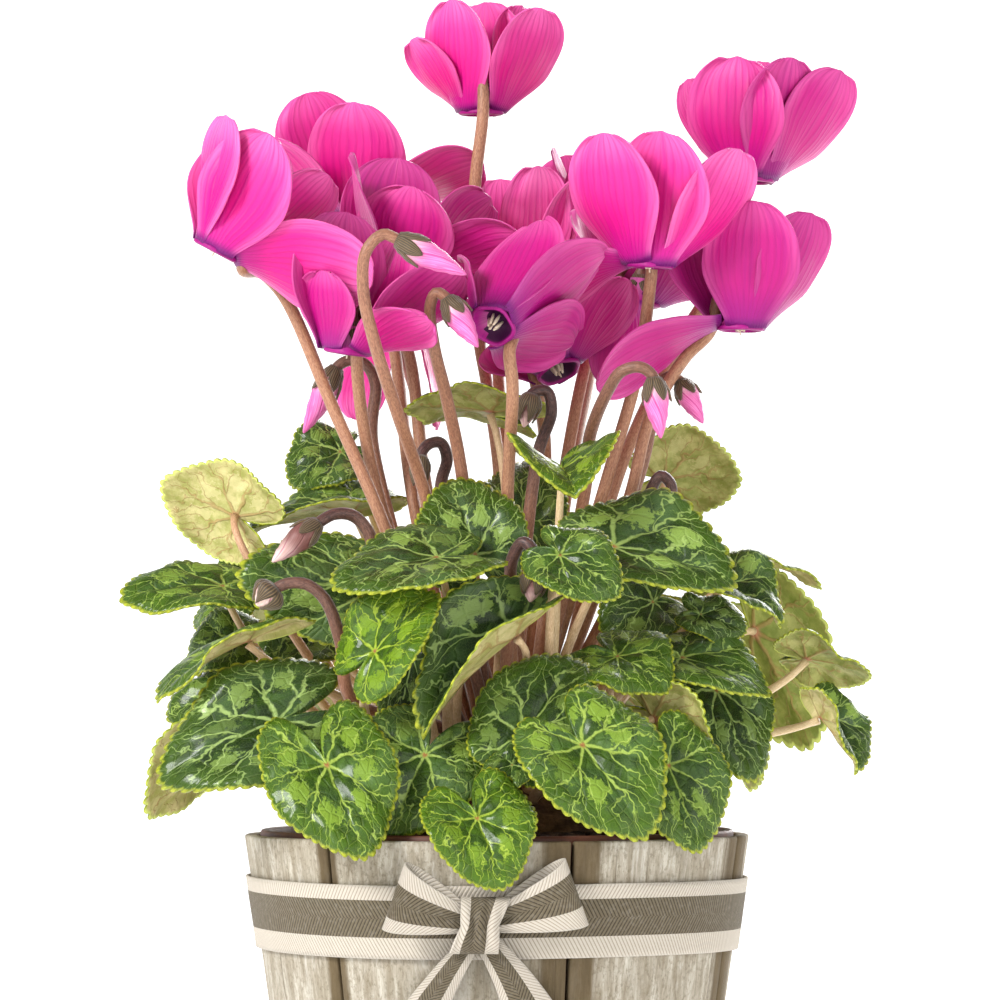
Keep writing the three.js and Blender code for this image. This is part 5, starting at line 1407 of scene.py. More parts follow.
def petal_surface(frame, petal, drift):
    lean_from, lean_to = (math.radians(lean) for lean in petal["lean"])
    length = petal.get("length", PETAL_LENGTH)
    width = petal.get("width", PETAL_WIDTH)
    twist = math.radians(petal.get("twist", PETAL_TWIST))
    cup = petal.get("cup", 0.3)
    sweep = lean_to - lean_from + 1e-3
    out = frame.outward(math.radians(petal["azimuth"]))
    side = frame.up.cross(out)

    def surface(s, t):
        lean = lean_from + sweep * t
        radius = MOUTH_RADIUS + length / sweep * (math.cos(lean_from) - math.cos(lean))
        height = length / sweep * (math.sin(lean) - math.sin(lean_from))
        outward = out * math.cos(lean) - frame.up * math.sin(lean)
        turn = twist * (0.4 + 0.6 * t)
        across = side * math.cos(turn) + outward * math.sin(turn)
        face = outward * math.cos(turn) - side * math.sin(turn)
        half = width / 2 * petal_breadth(t)
        bow = 0.6 + (cup - 0.6) * min(1, 2.5 * t) + 1e-3
        wave = 0.9 * noise.noise(Vector((s * 1.3, t * 2.6, drift))) * smooth(0.1, 0.5, t)
        ruffle = 0.8 * math.sin(s * 5 + drift) * smooth(0.55, 1, t) * smooth(0.3, 1, abs(s))
        ruffle += 1.5 * smooth(0.7, 1.0, abs(s)) * smooth(0.45, 0.9, t)
        rib = -0.5 * math.exp(-((s / 0.12) ** 2)) * smooth(0, 0.2, t) * (1 - smooth(0.6, 0.95, t))
        return (frame.centre + frame.up * (PETAL_SEAT + height) + out * radius
                + across * (half * math.sin(bow * s) / bow)
                + face * (-half * (1 - math.cos(bow * s)) / bow + wave + ruffle + rib))

    return surface


def petal_blade(frame, petal, drift, light):
    """A petal is a grid whose rows run across it and whose columns run from the mouth to the tip."""
    surface = petal_surface(frame, petal, drift)
    bm = grid(PETAL_COLUMNS, PETAL_ROWS)
    spots = {}
    for vert in bm.verts:
        s = math.sin(vert.co.x * HALF_TURN / 2)
        t = (vert.co.y + 1) / 2
        t_bent = -0.012 + 1.0415 * (1 - (1 - t) ** 1.35) - 0.03 * s * s * smooth(0.8, 1, t)
        spots[vert] = (s, t_bent)
        vert.co = surface(s, t_bent)
    set_uv(bm, lambda vert: spots[vert])
    thicken(bm, PETAL_THICKNESS)
    # The tone carries the bloom's painted light and shade, varied a little from petal to petal.
    set_values(bm, light + 0.12 * math.sin(7 * drift), drift)
    return bm


PETAL_COLUMNS = 18
PETAL_ROWS = 26


def turned(profile, steps, frame_at):
    """A profile spun about the Z axis and stood where frame_at puts it, its UV the turn and the
    height."""
    bm = new_mesh()
    spots = [bm.verts.new((radius, 0, height)) for radius, height in profile]
    edges = [bm.edges.new(pair) for pair in zip(spots, spots[1:])]
    bmesh.ops.spin(bm, geom=[*spots, *edges], axis=(0, 0, 1), cent=(0, 0, 0), angle=TURN, steps=steps,
                   use_merge=True)
    bmesh.ops.remove_doubles(bm, verts=bm.verts[:], dist=1e-4)
    bmesh.ops.recalc_face_normals(bm, faces=bm.faces[:])
    flat = bm.loops.layers.uv["flat"]
    for face in bm.faces:
        turns = [math.atan2(loop.vert.co.y, loop.vert.co.x) / TURN for loop in face.loops]
        wrap = max(turns) - min(turns) > 0.5
        for loop, turn in zip(face.loops, turns):
            loop[flat].uv = (turn + 1 if wrap and turn < 0 else turn, loop.vert.co.z)
    for vert in bm.verts:
        vert.co = frame_at(vert.co)
    return bm


def bloom_tube(frame, pale):
    """The short tube: a five-lobed rim, an outer wall up to the calyx, and the dark dished throat."""
    rim = MOUTH_RADIUS + 0.35
    profile = [
        (0, MOUTH_DEPTH), (3.2, MOUTH_DEPTH - 0.2), (5, 2.4), (6.2, 0.4), (rim - 0.8, -0.3), (rim, 0.1),
        (rim, 0.9), (rim - 1.4, 2.2), (5, 3.6), (TUBE_NECK_RADIUS + 0.5, 5), (TUBE_NECK_RADIUS, TUBE_LENGTH),
        (0, TUBE_LENGTH),
    ]

    def stand(co):
        turn = math.atan2(co.y, co.x)
        lobe = 1 + 0.05 * math.cos(5 * turn) * smooth(4, 7, math.hypot(co.x, co.y))
        return (frame.centre + frame.front * (co.x * lobe) + frame.right * (co.y * lobe) + frame.up * co.z)

    bm = turned(profile, 30, stand)
    flat = bm.loops.layers.uv["flat"]
    for face in bm.faces:
        inside = (face.calc_center_median() - frame.centre).dot(frame.up)
        radius = (face.calc_center_median() - frame.centre - frame.up * inside).length
        throat = face.normal.dot(frame.up) < 0 and radius < 6
        for loop in face.loops:
            u, v = loop[flat].uv
            loop[flat].uv = (u, -v / MOUTH_DEPTH if throat else v / TUBE_LENGTH)
        face.material_index = 1
    set_values(bm, pale)
    return bm


def stamens(frame):
    """A cone of slim anthers and the style that stand in the throat and show in the mouth."""
    whole = new_mesh()
    for k in range(STAMEN_COUNT):
        last = k == STAMEN_COUNT - 1
        turn = TURN * k / (STAMEN_COUNT - 1) + 0.3 * random.random()
        radius = 0 if last else 2.3
        start = frame.at(turn, radius, MOUTH_DEPTH - 0.5)
        end = frame.at(turn, radius * 0.5, -1.6 if last else -0.5 + 0.5 * random.random())
        path = Path([start.lerp(end, i / 6) for i in range(7)])
        anther = rod(path, lambda share: 0.25 if last else 0.2 + 0.35 * math.sin(HALF_TURN * (0.1 + 0.8 * share)),
                     [i / 5 for i in range(6)], 6)
        add_to(whole, anther)
    for face in whole.faces:
        face.material_index = 2
    return whole


def petal_drift(name, index):
    return (sum(ord(letter) for letter in name) * 0.37 + index * 2.9) % 9


def add_bloom(name, bloom):
    frame = BloomFrame(bloom)
    whole = new_mesh()
    for index, petal in enumerate(bloom["petals"]):
        add_to(whole, petal_blade(frame, petal, petal_drift(name, index), bloom["light"]))
    add_to(whole, bloom_tube(frame, bloom.get("pale", 0.2)))
    add_to(whole, stamens(frame))
    piece_name = name.replace("bloom", "open_bloom")
    finish_piece(piece_name, whole, [PETAL, BLOOM_TUBE, STAMENS], [name])


# Flower stems and buds


def hook_points(frame, side):
    turn = math.radians(side)
    return [
        frame.at(turn, MOUTH_RADIUS + 3, 0),
        frame.at(turn, MOUTH_RADIUS + 0.5, TUBE_LENGTH + 2),
        frame.at(turn, 3, TUBE_LENGTH + 6.5),
        frame.at(turn, 0, TUBE_LENGTH + 5),
        frame.at(turn, 0, TUBE_LENGTH + 0.45),
    ]


def sepals(centre, down, length, radius_at, count=5, spread=1.0):
    """Pointed sepals that lie on a round body: each is a narrow grid, wrapped round it."""
    across_way = down.orthogonal().normalized()
    other_way = down.cross(across_way)
    whole = new_mesh()
    for k in range(count):
        middle = TURN * k / count
        bm = grid(8, 10)
        spots = {}
        for vert in bm.verts:
            s = vert.co.x
            t = (vert.co.y + 1) / 2
            spots[vert] = (s, t)
            half = HALF_TURN / count * 1.12 * (1 - t**1.8) ** 0.8 + 0.01
            turn = middle + s * half
            lift = 0.35 + 0.25 * (1 - s * s) + 0.5 * spread * smooth(0.6, 1, t)
            radius = radius_at(t) + lift
            vert.co = (centre + down * (length * t) + across_way * (radius * math.cos(turn))
                       + other_way * (radius * math.sin(turn)))
        set_uv(bm, lambda vert: spots[vert])
        thicken(bm, 0.45)
        add_to(whole, bm)
    for face in whole.faces:
        face.material_index = 1
    return whole


def stem_shares(count, power=1.7):
    return [1 - (1 - k / count) ** power for k in range(count + 1)]


def bloom_stem(bloom, start, out):
    frame = BloomFrame(bloom)
    points = [start, start + out * 12, *[place(spot) for spot in bloom["way"]],
              *hook_points(frame, bloom["stem_side"])]
    path = catmull_path(points)

    def radius(share):
        from_end = (1 - share) * path.length
        return STEM_RADIUS * (1.02 - 0.2 * smooth(30, 4, from_end)) + 0.8 * smooth(3, 0, from_end)

    # Dark on the hook below the bloom, its own colour, and darker near the root, where it is painted shade among the
    # crowded stems.
    def hook_colour_and_root_shade(share):
        from_end = (1 - share) * path.length
        return max(0.75 * smooth(30, 4, from_end), 0.35 * smooth(0.2, 0.0, share))

    stalk = rod(path, radius, stem_shares(70), 12, bloom.get("fair", 0.1), hook_colour_and_root_shade)
    cup = sepals(frame.at(0, 0, TUBE_LENGTH + 1.2), -frame.up, 6.5,
                 lambda t: 2.5 + 1.7 * smooth(0.2, 1, t) if t > 0.25 else 1.8 + 2.8 * t, 5, 0.4)
    return [stalk, cup]


def bud_parts(bud, start, out):
    """The hooked stem, the bud's rolled petals and the striped sepals over its neck."""
    neck, tip = place(bud["neck"]), place(bud["tip"])
    middle = neck.lerp(tip, 0.5)
    path = catmull_path([start, start + out * 12, *[place(spot) for spot in bud["way"]], neck, middle, tip])
    length = (tip - neck).length
    body_share = 1 - 0.98 * length / path.length
    young = bud.get("young", 0.3)

    def stem_radius(share):
        return (STEM_RADIUS * 1.02) * (1 - 0.14 * smooth(0.6, 1, share)) * (1 + 0.12 * smooth(0.9, 1, share))

    # Dark on the young hook, its own colour, and darker near the root, where it is painted shade among the crowded
    # stems.
    def hook_colour_and_root_shade(share):
        return max(young * smooth(0.45, 0.8, share), 0.65 * smooth(0.34, 0.1, share))

    shares = [share * (body_share + 0.01) for share in stem_shares(70)]
    stalk = rod(path, stem_radius, shares, 12, bud.get("fair", 0.0), hook_colour_and_root_shade)
    shape = [(0, 1.7), (0.1, 2.9), (0.25, 3.9), (0.4, 4.0), (0.6, 3.3), (0.8, 2.1), (0.93, 1.1), (1, 0.25)]

    def bud_radius(t):
        for (low, one), (high, other) in zip(shape, shape[1:]):
            if t <= high:
                return (one + (other - one) * smooth(low, high, t)) * bud["size"]
        return 0.2

    def along(share):
        return body_share + (1 - body_share) * share

    steps = 26
    roll = rod(path, lambda share: bud_radius((share - body_share) / (1 - body_share)),
               [along(k / steps) for k in range(steps + 1)], 24, bud.get("pink", 0.9), lambda _: young, 2)
    flat = roll.loops.layers.uv["flat"]
    first = body_share * path.length * MM
    for face in roll.faces:
        for loop in face.loops:
            u, v = loop[flat].uv
            loop[flat].uv = (u, (v - first) / (length * MM))
    cover = bud.get("cover", 0.4)
    down = (tip - neck).normalized()
    cup = sepals(path.at(body_share)[0], down, length * cover, lambda t: bud_radius(t * cover), 5, 0.25)
    return [stalk, roll, cup]


def add_stems(bases):
    for (name, bunch), base in zip(STEM_BUNCHES.items(), bases):
        blooms = [BLOOMS[key] for key in bunch["blooms"]]
        buds = [BUDS[key] for key in bunch["buds"]]
        starts = rod_starts(base, [place(one["way"][0]) for one in [*blooms, *buds]])
        whole = new_mesh()
        add_to(whole, stub(base, len(starts), 0, 0.2))
        for bloom, start in zip(blooms, starts):
            for part in bloom_stem(bloom, start, base[1]):
                add_to(whole, part)
        for bud, start in zip(buds, starts[len(blooms):]):
            for part in bud_parts(bud, start, base[1]):
                add_to(whole, part)
        finish_piece(name.replace("stems", "flower_stems"), whole, [STEM_SKIN, CALYX, BUD_PETALS],
                     [name])


# Materials of the pot, the ribbon and the soil


def wood_material():
    """Pine boards under a worn whitewash: upright grain, and dark bare streaks beside the joints."""
    material, n, shader = new_material("whitewashed board", 0.8, Specular_IOR_Level=0.25)
    around, up, _ = n.split(n.uv("flat"))
    left, right, _ = n.split(n.uv("rim"))
    board = n.value("tone")
    run = n.vector(around, up, n.math("MULTIPLY", board, 0.37))
    broad = n.noise(n.stretch(run, (55, 6, 1)), 1, 4, 0.6, 0.4)
    fine = n.noise(n.stretch(run, (360, 50, 1)), 1, 5, 0.7, 0.3)
    hair = n.noise(n.stretch(run, (1300, 150, 1)), 1, 3, 0.7)
    grit = n.noise(n.stretch(run, (900, 620, 1)), 1, 4, 0.7)
    paint = n.mix(n.smooth(0.3, 0.7, broad), rgb(164, 157, 141), rgb(196, 190, 177))
    paint = n.mix(n.smooth(0.35, 0.75, fine), rgb(136, 126, 108), paint)
    paint = n.mix(n.math("MULTIPLY", n.smooth(0.56, 0.7, hair), 0.5), paint, rgb(112, 101, 82))
    paint = n.mix(n.math("MULTIPLY", n.smooth(0.48, 0.66, grit), 0.55), paint, rgb(104, 94, 74))
    patches = n.noise(n.stretch(run, (130, 34, 1)), 1, 5, 0.75, 0.6)
    worn = n.math("MULTIPLY", n.smooth(0.5, 0.72, patches), 0.55)
    paint = n.mix(worn, paint, rgb(206, 202, 192))
    splinters = n.noise(n.stretch(run, (260, 16, 1)), 1, 4, 0.7)
    ragged = n.math("MULTIPLY", n.math("SUBTRACT", splinters, 0.5), 1.3)
    near = n.math("MINIMUM", left, right)
    bare = n.smooth(1.5, 0.8, n.math("ADD", near, ragged))
    brown = n.mix(fine, rgb(60, 48, 29), rgb(106, 89, 60))
    paint = n.mix(n.math("MULTIPLY", bare, 0.92), paint, brown)
    crack = n.smooth(0.68, 0.74, n.noise(n.stretch(run, (620, 7, 1)), 1, 2, 0.5))
    paint = n.mix(n.math("MULTIPLY", crack, 0.6), paint, rgb(84, 70, 50))
    n.join(paint, shader["Base Color"])
    height = n.math("ADD", n.math("MULTIPLY", fine, 0.6), n.math("MULTIPLY", hair, 0.3))
    height = n.math("ADD", height, n.math("MULTIPLY", grit, 0.5))
    height = n.math("SUBTRACT", height, n.math("MULTIPLY", bare, 0.35))
    height = n.math("SUBTRACT", height, n.math("MULTIPLY", crack, 0.5))
    n.join(n.bump(height, 0.55, 0.0008), shader["Normal"])
    n.join(n.math("ADD", 0.72, n.math("MULTIPLY", fine, 0.2)), shader["Roughness"])
    return material


def herringbone_group():
    """Rows of slanted weave, each row leaning the other way, and how much each place stands out."""
    tree, n, given, out = shader_group(
        "herringbone", {"across": "Float", "along": "Float"},
        {"row": "Float", "weave": "Float", "height": "Float"})
    across, along = given["across"], given["along"]
    upper = n.math("GREATER_THAN", across, 0.2)
    middle = n.math("GREATER_THAN", across, 0.455)
    lower = n.math("GREATER_THAN", across, 0.71)
    row = n.math("ADD", upper, n.math("ADD", middle, lower))
    n.join(row, out["row"])
    side = n.math("SUBTRACT", 1, n.math("MULTIPLY", 2, n.math("MODULO", row, 2)))
    run = n.math("ADD", along, n.math("MULTIPLY", side, n.math("MULTIPLY", across, 13)))
    rib = n.math("PINGPONG", n.math("MULTIPLY", run, 0.8), 0.5)
    thread = n.math("PINGPONG", n.math("MULTIPLY", across, 58), 0.5)
    n.join(n.smooth(0.02, 0.24, rib), out["weave"])
    n.join(n.math("ADD", rib, n.math("MULTIPLY", thread, 0.4)), out["height"])
    return tree


HERRINGBONE = herringbone_group()


def ribbon_material():
    """Cotton herringbone: a cream edge above, two taupe rows and a wide cream edge below."""
    material, n, shader = new_material(
        "herringbone ribbon", 0.88, Specular_IOR_Level=0.2, Sheen_Weight=0.06, Sheen_Roughness=0.5)
    across, along, _ = n.split(n.uv("flat"))
    weave = use_group(n, HERRINGBONE, across=across, along=along)
    row = weave["row"]
    taupe = n.math("MULTIPLY", n.math("GREATER_THAN", row, 0.5), n.math("LESS_THAN", row, 2.5))
    fuzz = n.noise(n.spot(), 700, 3, 0.6)
    cream = n.mix(weave["weave"], rgb(146, 136, 120), rgb(190, 181, 168))
    dark = n.mix(weave["weave"], rgb(44, 38, 28), rgb(104, 94, 76))
    cloth = n.mix(taupe, cream, dark)
    selvedge = n.math("MINIMUM", across, n.math("SUBTRACT", 1, across))
    cloth = n.mix(n.math("MULTIPLY", n.smooth(0.035, 0.0, selvedge), 0.5), cloth, rgb(198, 190, 178))
    cloth = n.mix(n.math("MULTIPLY", n.smooth(0.45, 0.75, fuzz), 0.08), cloth, rgb(222, 216, 204))
    n.join(cloth, shader["Base Color"])
    height = n.math("ADD", weave["height"], n.math("MULTIPLY", fuzz, 0.35))
    n.join(n.bump(height, 0.7, 0.0006), shader["Normal"])
    return material


def nursery_material():
    material, n, shader = new_material("nursery pot plastic", 0.5, Specular_IOR_Level=0.4)
    dust = n.noise(n.spot(), 60, 5, 0.7)
    n.join(n.mix(n.smooth(0.4, 0.75, dust), rgb(78, 40, 28), rgb(104, 64, 48)), shader["Base Color"])
    n.join(n.math("ADD", 0.4, n.math("MULTIPLY", dust, 0.35)), shader["Roughness"])
    n.join(n.bump(n.noise(n.spot(), 900, 2), 0.2, 0.0003), shader["Normal"])
    return material


def soil_material():
    material, n, shader = new_material("potting soil", 0.95, Specular_IOR_Level=0.2)
    crumbs = n.noise(n.spot(), 260, 6, 0.7)
    specks = n.smooth(0.62, 0.7, n.noise(n.spot(), 420, 3, 0.6))
    earth = n.mix(n.smooth(0.35, 0.7, crumbs), rgb(34, 22, 16), rgb(78, 56, 42))
    n.join(n.mix(n.math("MULTIPLY", specks, 0.5), earth, rgb(120, 96, 74)), shader["Base Color"])
    n.join(n.bump(crumbs, 0.9, 0.0025), shader["Normal"])
    return material


def tuber_material():
    material, n, shader = new_material("tuber skin", 0.9, Specular_IOR_Level=0.2)
    cork = n.noise(n.spot(), 120, 6, 0.7)
    rings = n.noise(n.stretch(n.spot(), (60, 60, 500)), 1, 4, 0.6)
    skin = n.mix(n.smooth(0.35, 0.7, cork), rgb(62, 42, 30), rgb(120, 90, 66))
    skin = n.mix(n.math("MULTIPLY", n.smooth(0.5, 0.7, rings), 0.4), skin, rgb(146, 116, 88))
    n.join(skin, shader["Base Color"])
    n.join(n.bump(n.math("ADD", cork, rings), 0.8, 0.0015), shader["Normal"])
    return material


WOOD = wood_material()
RIBBON = ribbon_material()
NURSERY = nursery_material()
SOIL = soil_material()
TUBER = tuber_material()


# Cover pot


def pot_radius(height):
    return POT_BOTTOM_RADIUS + (POT_TOP_RADIUS - POT_BOTTOM_RADIUS) * height / POT_HEIGHT


def around(azimuth, radius, height):
    return Vector((radius * math.sin(azimuth), -radius * math.cos(azimuth), height))


BOARD_COLUMNS = 30
BOARD_ROWS = 40
BOARD_EDGE = 0.7


def board(index):
    """One curved board with worn round edges, dark beside its joints."""
    joint = BOARD_JOINTS[index]
    after = (index + 1) % len(BOARD_JOINTS)
    end = BOARD_JOINTS[after] + (360 if after == 0 else 0)
    gap = BOARD_JOINT_WIDTH / 2 / POT_BOTTOM_RADIUS
    low, high = math.radians(joint) + gap, math.radians(end) - gap
    shades = BOARD_JOINT_SHADE[index], BOARD_JOINT_SHADE[after]
    bm = new_mesh()
    bmesh.ops.create_cube(bm, size=2)
    for axis, cuts in ((0, BOARD_COLUMNS - 1), (2, BOARD_ROWS - 1)):
        across = [edge for edge in bm.edges
                  if abs((edge.verts[0].co - edge.verts[1].co)[axis]) > 1.9]
        bmesh.ops.subdivide_edges(bm, edges=across, cuts=cuts, use_grid_fill=True)
    sharp = [edge for edge in bm.edges if edge.calc_face_angle(0) > 1]
    spread = POT_TOP_RADIUS * (high - low) / 2
    scale = (spread, BOARD_THICKNESS / 2, POT_HEIGHT / 2)
    for vert in bm.verts:
        vert.co = Vector([co * size for co, size in zip(vert.co, scale)])
    bmesh.ops.bevel(bm, geom=sharp, offset=BOARD_EDGE, segments=2, profile=0.5, affect="EDGES",
                    material=-1)
    flat = bm.loops.layers.uv["flat"]
    rim = bm.loops.layers.uv["rim"]
    for face in bm.faces:
        for loop in face.loops:
            x, y, z = loop.vert.co
            share = (x / spread + 1) / 2
            arc = (high - low) * pot_radius(z + POT_HEIGHT / 2)
            loop[flat].uv = ((low + (high - low) * share) * POT_TOP_RADIUS * MM, (z + y) * MM)
            loop[rim].uv = (share * arc / shades[0], (1 - share) * arc / shades[1])
    for vert in bm.verts:
        x, y, z = vert.co
        height = z + POT_HEIGHT / 2
        azimuth = low + (high - low) * (x / spread + 1) / 2
        dent = 0.35 * (noise.noise(Vector((azimuth * 9, height * 0.03, index * 3.1))) - 0.3)
        wear = -0.5 * smooth(3, 0, x + spread) - 0.5 * smooth(3, 0, spread - x)
        outer = y < 0
        radius = pot_radius(height) - BOARD_THICKNESS / 2 - y + (min(dent + wear, 0) if outer else 0)
        vert.co = around(azimuth, radius, height)
    bmesh.ops.recalc_face_normals(bm, faces=bm.faces[:])
    set_values(bm, index + 1.0)
    finish_piece(f"weathered_board_{index + 1}", bm, [WOOD], [f"pot_board_{index + 1}"])


def bottom_board():
    radius = pot_radius(0) - BOARD_THICKNESS - 0.6
    profile = [(0, 0), (radius - 0.5, 0), (radius, 0.5), (radius + 0.4, 5.6), (radius, 6), (0, 6)]
    bm = turned(profile, 72, lambda co: Vector(co))
    flat = bm.loops.layers.uv["flat"]
    rim = bm.loops.layers.uv["rim"]
    for face in bm.faces:
        for loop in face.loops:
            loop[flat].uv = (loop.vert.co.x * MM, loop.vert.co.y * MM)
            loop[rim].uv = (9, 9)
    set_values(bm, 9.0)
    finish_piece("round_bottom_board", bm, [WOOD], ["pot_bottom_board"])


# Nursery pot, soil and tuber


def nursery_pot():
    """A thin tapered pot with a rolled rim."""
    low = NURSERY_LOW
    top = NURSERY_RIM_HEIGHT
    outer, wall = NURSERY_RIM_RADIUS, NURSERY_WALL
    base = NURSERY_BASE_RADIUS
    profile = [
        (0, low), (base - 1.5, low), (base, low + 1.2), (outer - 1.2, top - 8), (outer, top - 6.5), (outer + 0.3, top - 1),
        (outer - 0.1, top - 0.2), (outer - 0.6, top), (outer - 1.4, top - 0.3), (outer - wall - 0.2, top - 1.2),
        (outer - wall - 1.2, top - 8), (base - wall, low + wall), (0, low + wall),
    ]
    bm = turned(profile, 96, lambda co: Vector(co))
    set_values(bm)
    finish_piece("thin_nursery_pot", bm, [NURSERY], ["nursery_pot"])


SOIL_CRUMBS = 420


def soil():
    """The soil's crumbly top, the hollow under the tuber, and loose crumbs and bark on top."""
    low = NURSERY_LOW + NURSERY_WALL + FIT
    edge = NURSERY_RIM_RADIUS - NURSERY_WALL - 2 * FIT - 1.4
    hollow_radius, hollow_half = TUBER_RADIUS + FIT, TUBER_HALF_HEIGHT + FIT
    hollow = []
    for k in range(9):
        turn = HALF_TURN / 2 * k / 9.2
        hollow.append((hollow_radius * math.sin(turn), TUBER_CENTRE - hollow_half * math.cos(turn)))
    top = [(52 + (edge - 52) * k / 10, SOIL_CENTRE_HEIGHT - 0.5 - (SOIL_CENTRE_HEIGHT - 0.5 - SOIL_EDGE_HEIGHT) * k / 10)
           for k in range(11)]
    inner = [(38 + 14 * k / 7, SOIL_CENTRE_HEIGHT - 0.2) for k in range(7)]
    profile = [*hollow, *inner, *top, (NURSERY_BASE_RADIUS - 4, low), (0, low)]
    bm = turned(profile, 128, lambda co: Vector(co))
    for vert in bm.verts:
        x, y, z = vert.co
        radius = math.hypot(x, y)
        if z > SOIL_EDGE_HEIGHT - 1 and radius > 37:
            rough = noise.noise(Vector((x * 0.16, y * 0.16, 0))) * 1.1 + noise.noise(Vector((x * 0.6, y * 0.6, 5))) * 0.7
            vert.co.z += min(rough, 0.5) * smooth(edge + 0.5, edge - 3, radius)
    crumbs = new_mesh()
    for _ in range(SOIL_CRUMBS):
        turn = TURN * random.random()
        radius = 38 + (edge - 41) * math.sqrt(random.random())
        size = 0.5 + 1.3 * random.random() ** 2
        height = SOIL_CENTRE_HEIGHT - 0.4 - (SOIL_CENTRE_HEIGHT - SOIL_EDGE_HEIGHT) * smooth(52, edge, radius)
        crumb = new_mesh()
        bmesh.ops.create_icosphere(crumb, subdivisions=1, radius=size)
        stretch = Vector((0.7 + 0.8 * random.random(), 0.5 + 0.5 * random.random(), 0.4 + 0.4 * random.random()))
        roll = Quaternion((random.random() - 0.5, random.random() - 0.5, random.random(), 1)).normalized()
        for vert in crumb.verts:
            bent = roll @ Vector([co * amount for co, amount in zip(vert.co, stretch)])
            vert.co = bent + around(turn, radius, min(height + size * 0.25, NURSERY_RIM_HEIGHT))
        add_to(crumbs, crumb)
    add_to(bm, crumbs)
    set_values(bm)
    finish_piece("crumbly_soil", bm, [SOIL], ["soil"])


def tuber():
    bm = new_mesh()
    bmesh.ops.create_uvsphere(bm, u_segments=72, v_segments=36, radius=1)
    for vert in bm.verts:
        x, y, z = vert.co
        lump = 1 + 0.02 * noise.noise(Vector((x * 3, y * 3, z * 3))) + 0.008 * noise.noise(Vector((x * 11, y * 11, z * 9)))
        vert.co = Vector((x * TUBER_RADIUS * lump, y * TUBER_RADIUS * lump, TUBER_CENTRE + z * TUBER_HALF_HEIGHT * lump))
    set_values(bm)
    finish_piece("corky_tuber", bm, [TUBER], ["tuber"])


# Ribbon


BOW_CENTRE = Vector((-5.1, -83.4, 114.9))
LOOP_FULLNESS = 2.6
BOW_LOOPS = [
    {"end": (-31, 123.8), "width": 21},
    {"end": (24, 125.1), "width": 21},
]
BOW_TAILS = [
    {"way": [(-7, 111), (-16, 98), (-24, 84), (-28, 66), (-29, 46)], "width": 17, "stand": 0.2},
    {"way": [(-3, 110), (5, 98), (12, 84), (18, 66), (22, 42)], "width": RIBBON_WIDTH, "stand": 0.16},
]


def sheet_mesh(columns, rows, surface, uv_of, thickness=RIBBON_THICKNESS):
    """A ribbon's surface over a -1 to 1 grid, made as thick as the cloth."""
    bm = grid(columns, rows)
    spots = {vert: (vert.co.x, vert.co.y) for vert in bm.verts}
    for vert in bm.verts:
        vert.co = surface(*spots[vert])
    set_uv(bm, lambda vert: uv_of(*spots[vert]))
    bmesh.ops.remove_doubles(bm, verts=bm.verts[:], dist=1e-3)
    thicken(bm, thickness)
    set_values(bm)
    return bm


def ribbon_band():
    """The band is one strip of ribbon round the pot, drawn tight, with small slack waves."""
    half = RIBBON_WIDTH / 2
    offset = FIT + 0.35 + RIBBON_THICKNESS / 2

    def surface(x, y):
        azimuth = HALF_TURN * x
        height = BAND_CENTRE_HEIGHT + half * y
        slack = 0.25 * (1 + noise.noise(Vector((math.cos(azimuth) * 3, math.sin(azimuth) * 3, y))))
        return around(azimuth, pot_radius(height) + offset + slack * 0.5, height + 0.3 * math.sin(azimuth * 3))

    bm = sheet_mesh(260, 14, surface, lambda x, y: ((1 - y) / 2, x * HALF_TURN * pot_radius(BAND_CENTRE_HEIGHT)))
    band = finish_piece("woven_band", bm, [RIBBON], ["ribbon_band"])


def loop_surface(loop):
    end = loop["end"]
    run = Vector((end[0] - BOW_CENTRE.x, 0, end[1] - BOW_CENTRE.z))
    side = Vector((-run.z, 0, run.x)).normalized()
    rising = side if side.z > 0 else -side

    def surface(x, y):
        turn = HALF_TURN * (x + 1) / 2
        out = math.sin(turn)
        half = loop["width"] / 2 * (0.3 + 0.7 * out)
        depth = -2 * LOOP_FULLNESS * math.cos(turn) * out + 1.2 * (1 - y * y) * out * math.cos(turn)
        crease = 0.5 * math.cos(y * 7) * (1 - out) * (1 if x < 0 else -1)
        spread = side * (half * y) - rising * (2.6 * math.cos(turn) * out)
        return BOW_CENTRE + run * (0.08 + 0.92 * out) + spread + Vector((0, depth + crease, 0))

    return surface


def area_of(bm):
    return sum(face.calc_area() for face in bm.faces)


def bow_sheet(name, columns, rows, surface, uv_of, nodes=("ribbon_bow",)):
    bm = sheet_mesh(columns, rows, surface, uv_of)
    half_area = area_of(bm) / 2
    piece = finish_piece(name, bm, [RIBBON], nodes)


def tail_surface(tail):
    way = catmull_path([Vector((x, 0, z)) for x, z in tail["way"]])

    def surface(x, y):
        t = min(max((1 - y) / 2, 0), 1)
        middle, along = way.at(t)
        half = tail["width"] / 2 * min(1, 0.3 + 1.1 * t)
        spread = Vector((-along.z, 0, along.x)) * (half * x)
        point = middle + spread + along * (3 * x * smooth(0.6, 1, t))
        drop = BOW_CENTRE.z - point.z
        off = pot_radius(point.z) + 4.4 + max(0, drop) * tail["stand"] * (0.7 + 0.3 * math.cos(2.2 * x))
        point.y = -math.sqrt(off * off - point.x * point.x)
        return point

    return surface


def knot_surface(x, y):
    turn = math.radians(118) * y
    waist = 0.78 + 0.22 * abs(math.sin(turn))
    pleat = 0.8 * math.cos(x * 9.5 + 2 * math.sin(turn)) * math.cos(turn)
    return BOW_CENTRE + Vector((7.4 * x * waist + 1.8 * math.sin(turn), -(4.3 + pleat) * math.cos(turn),
                                8.3 * math.sin(turn)))


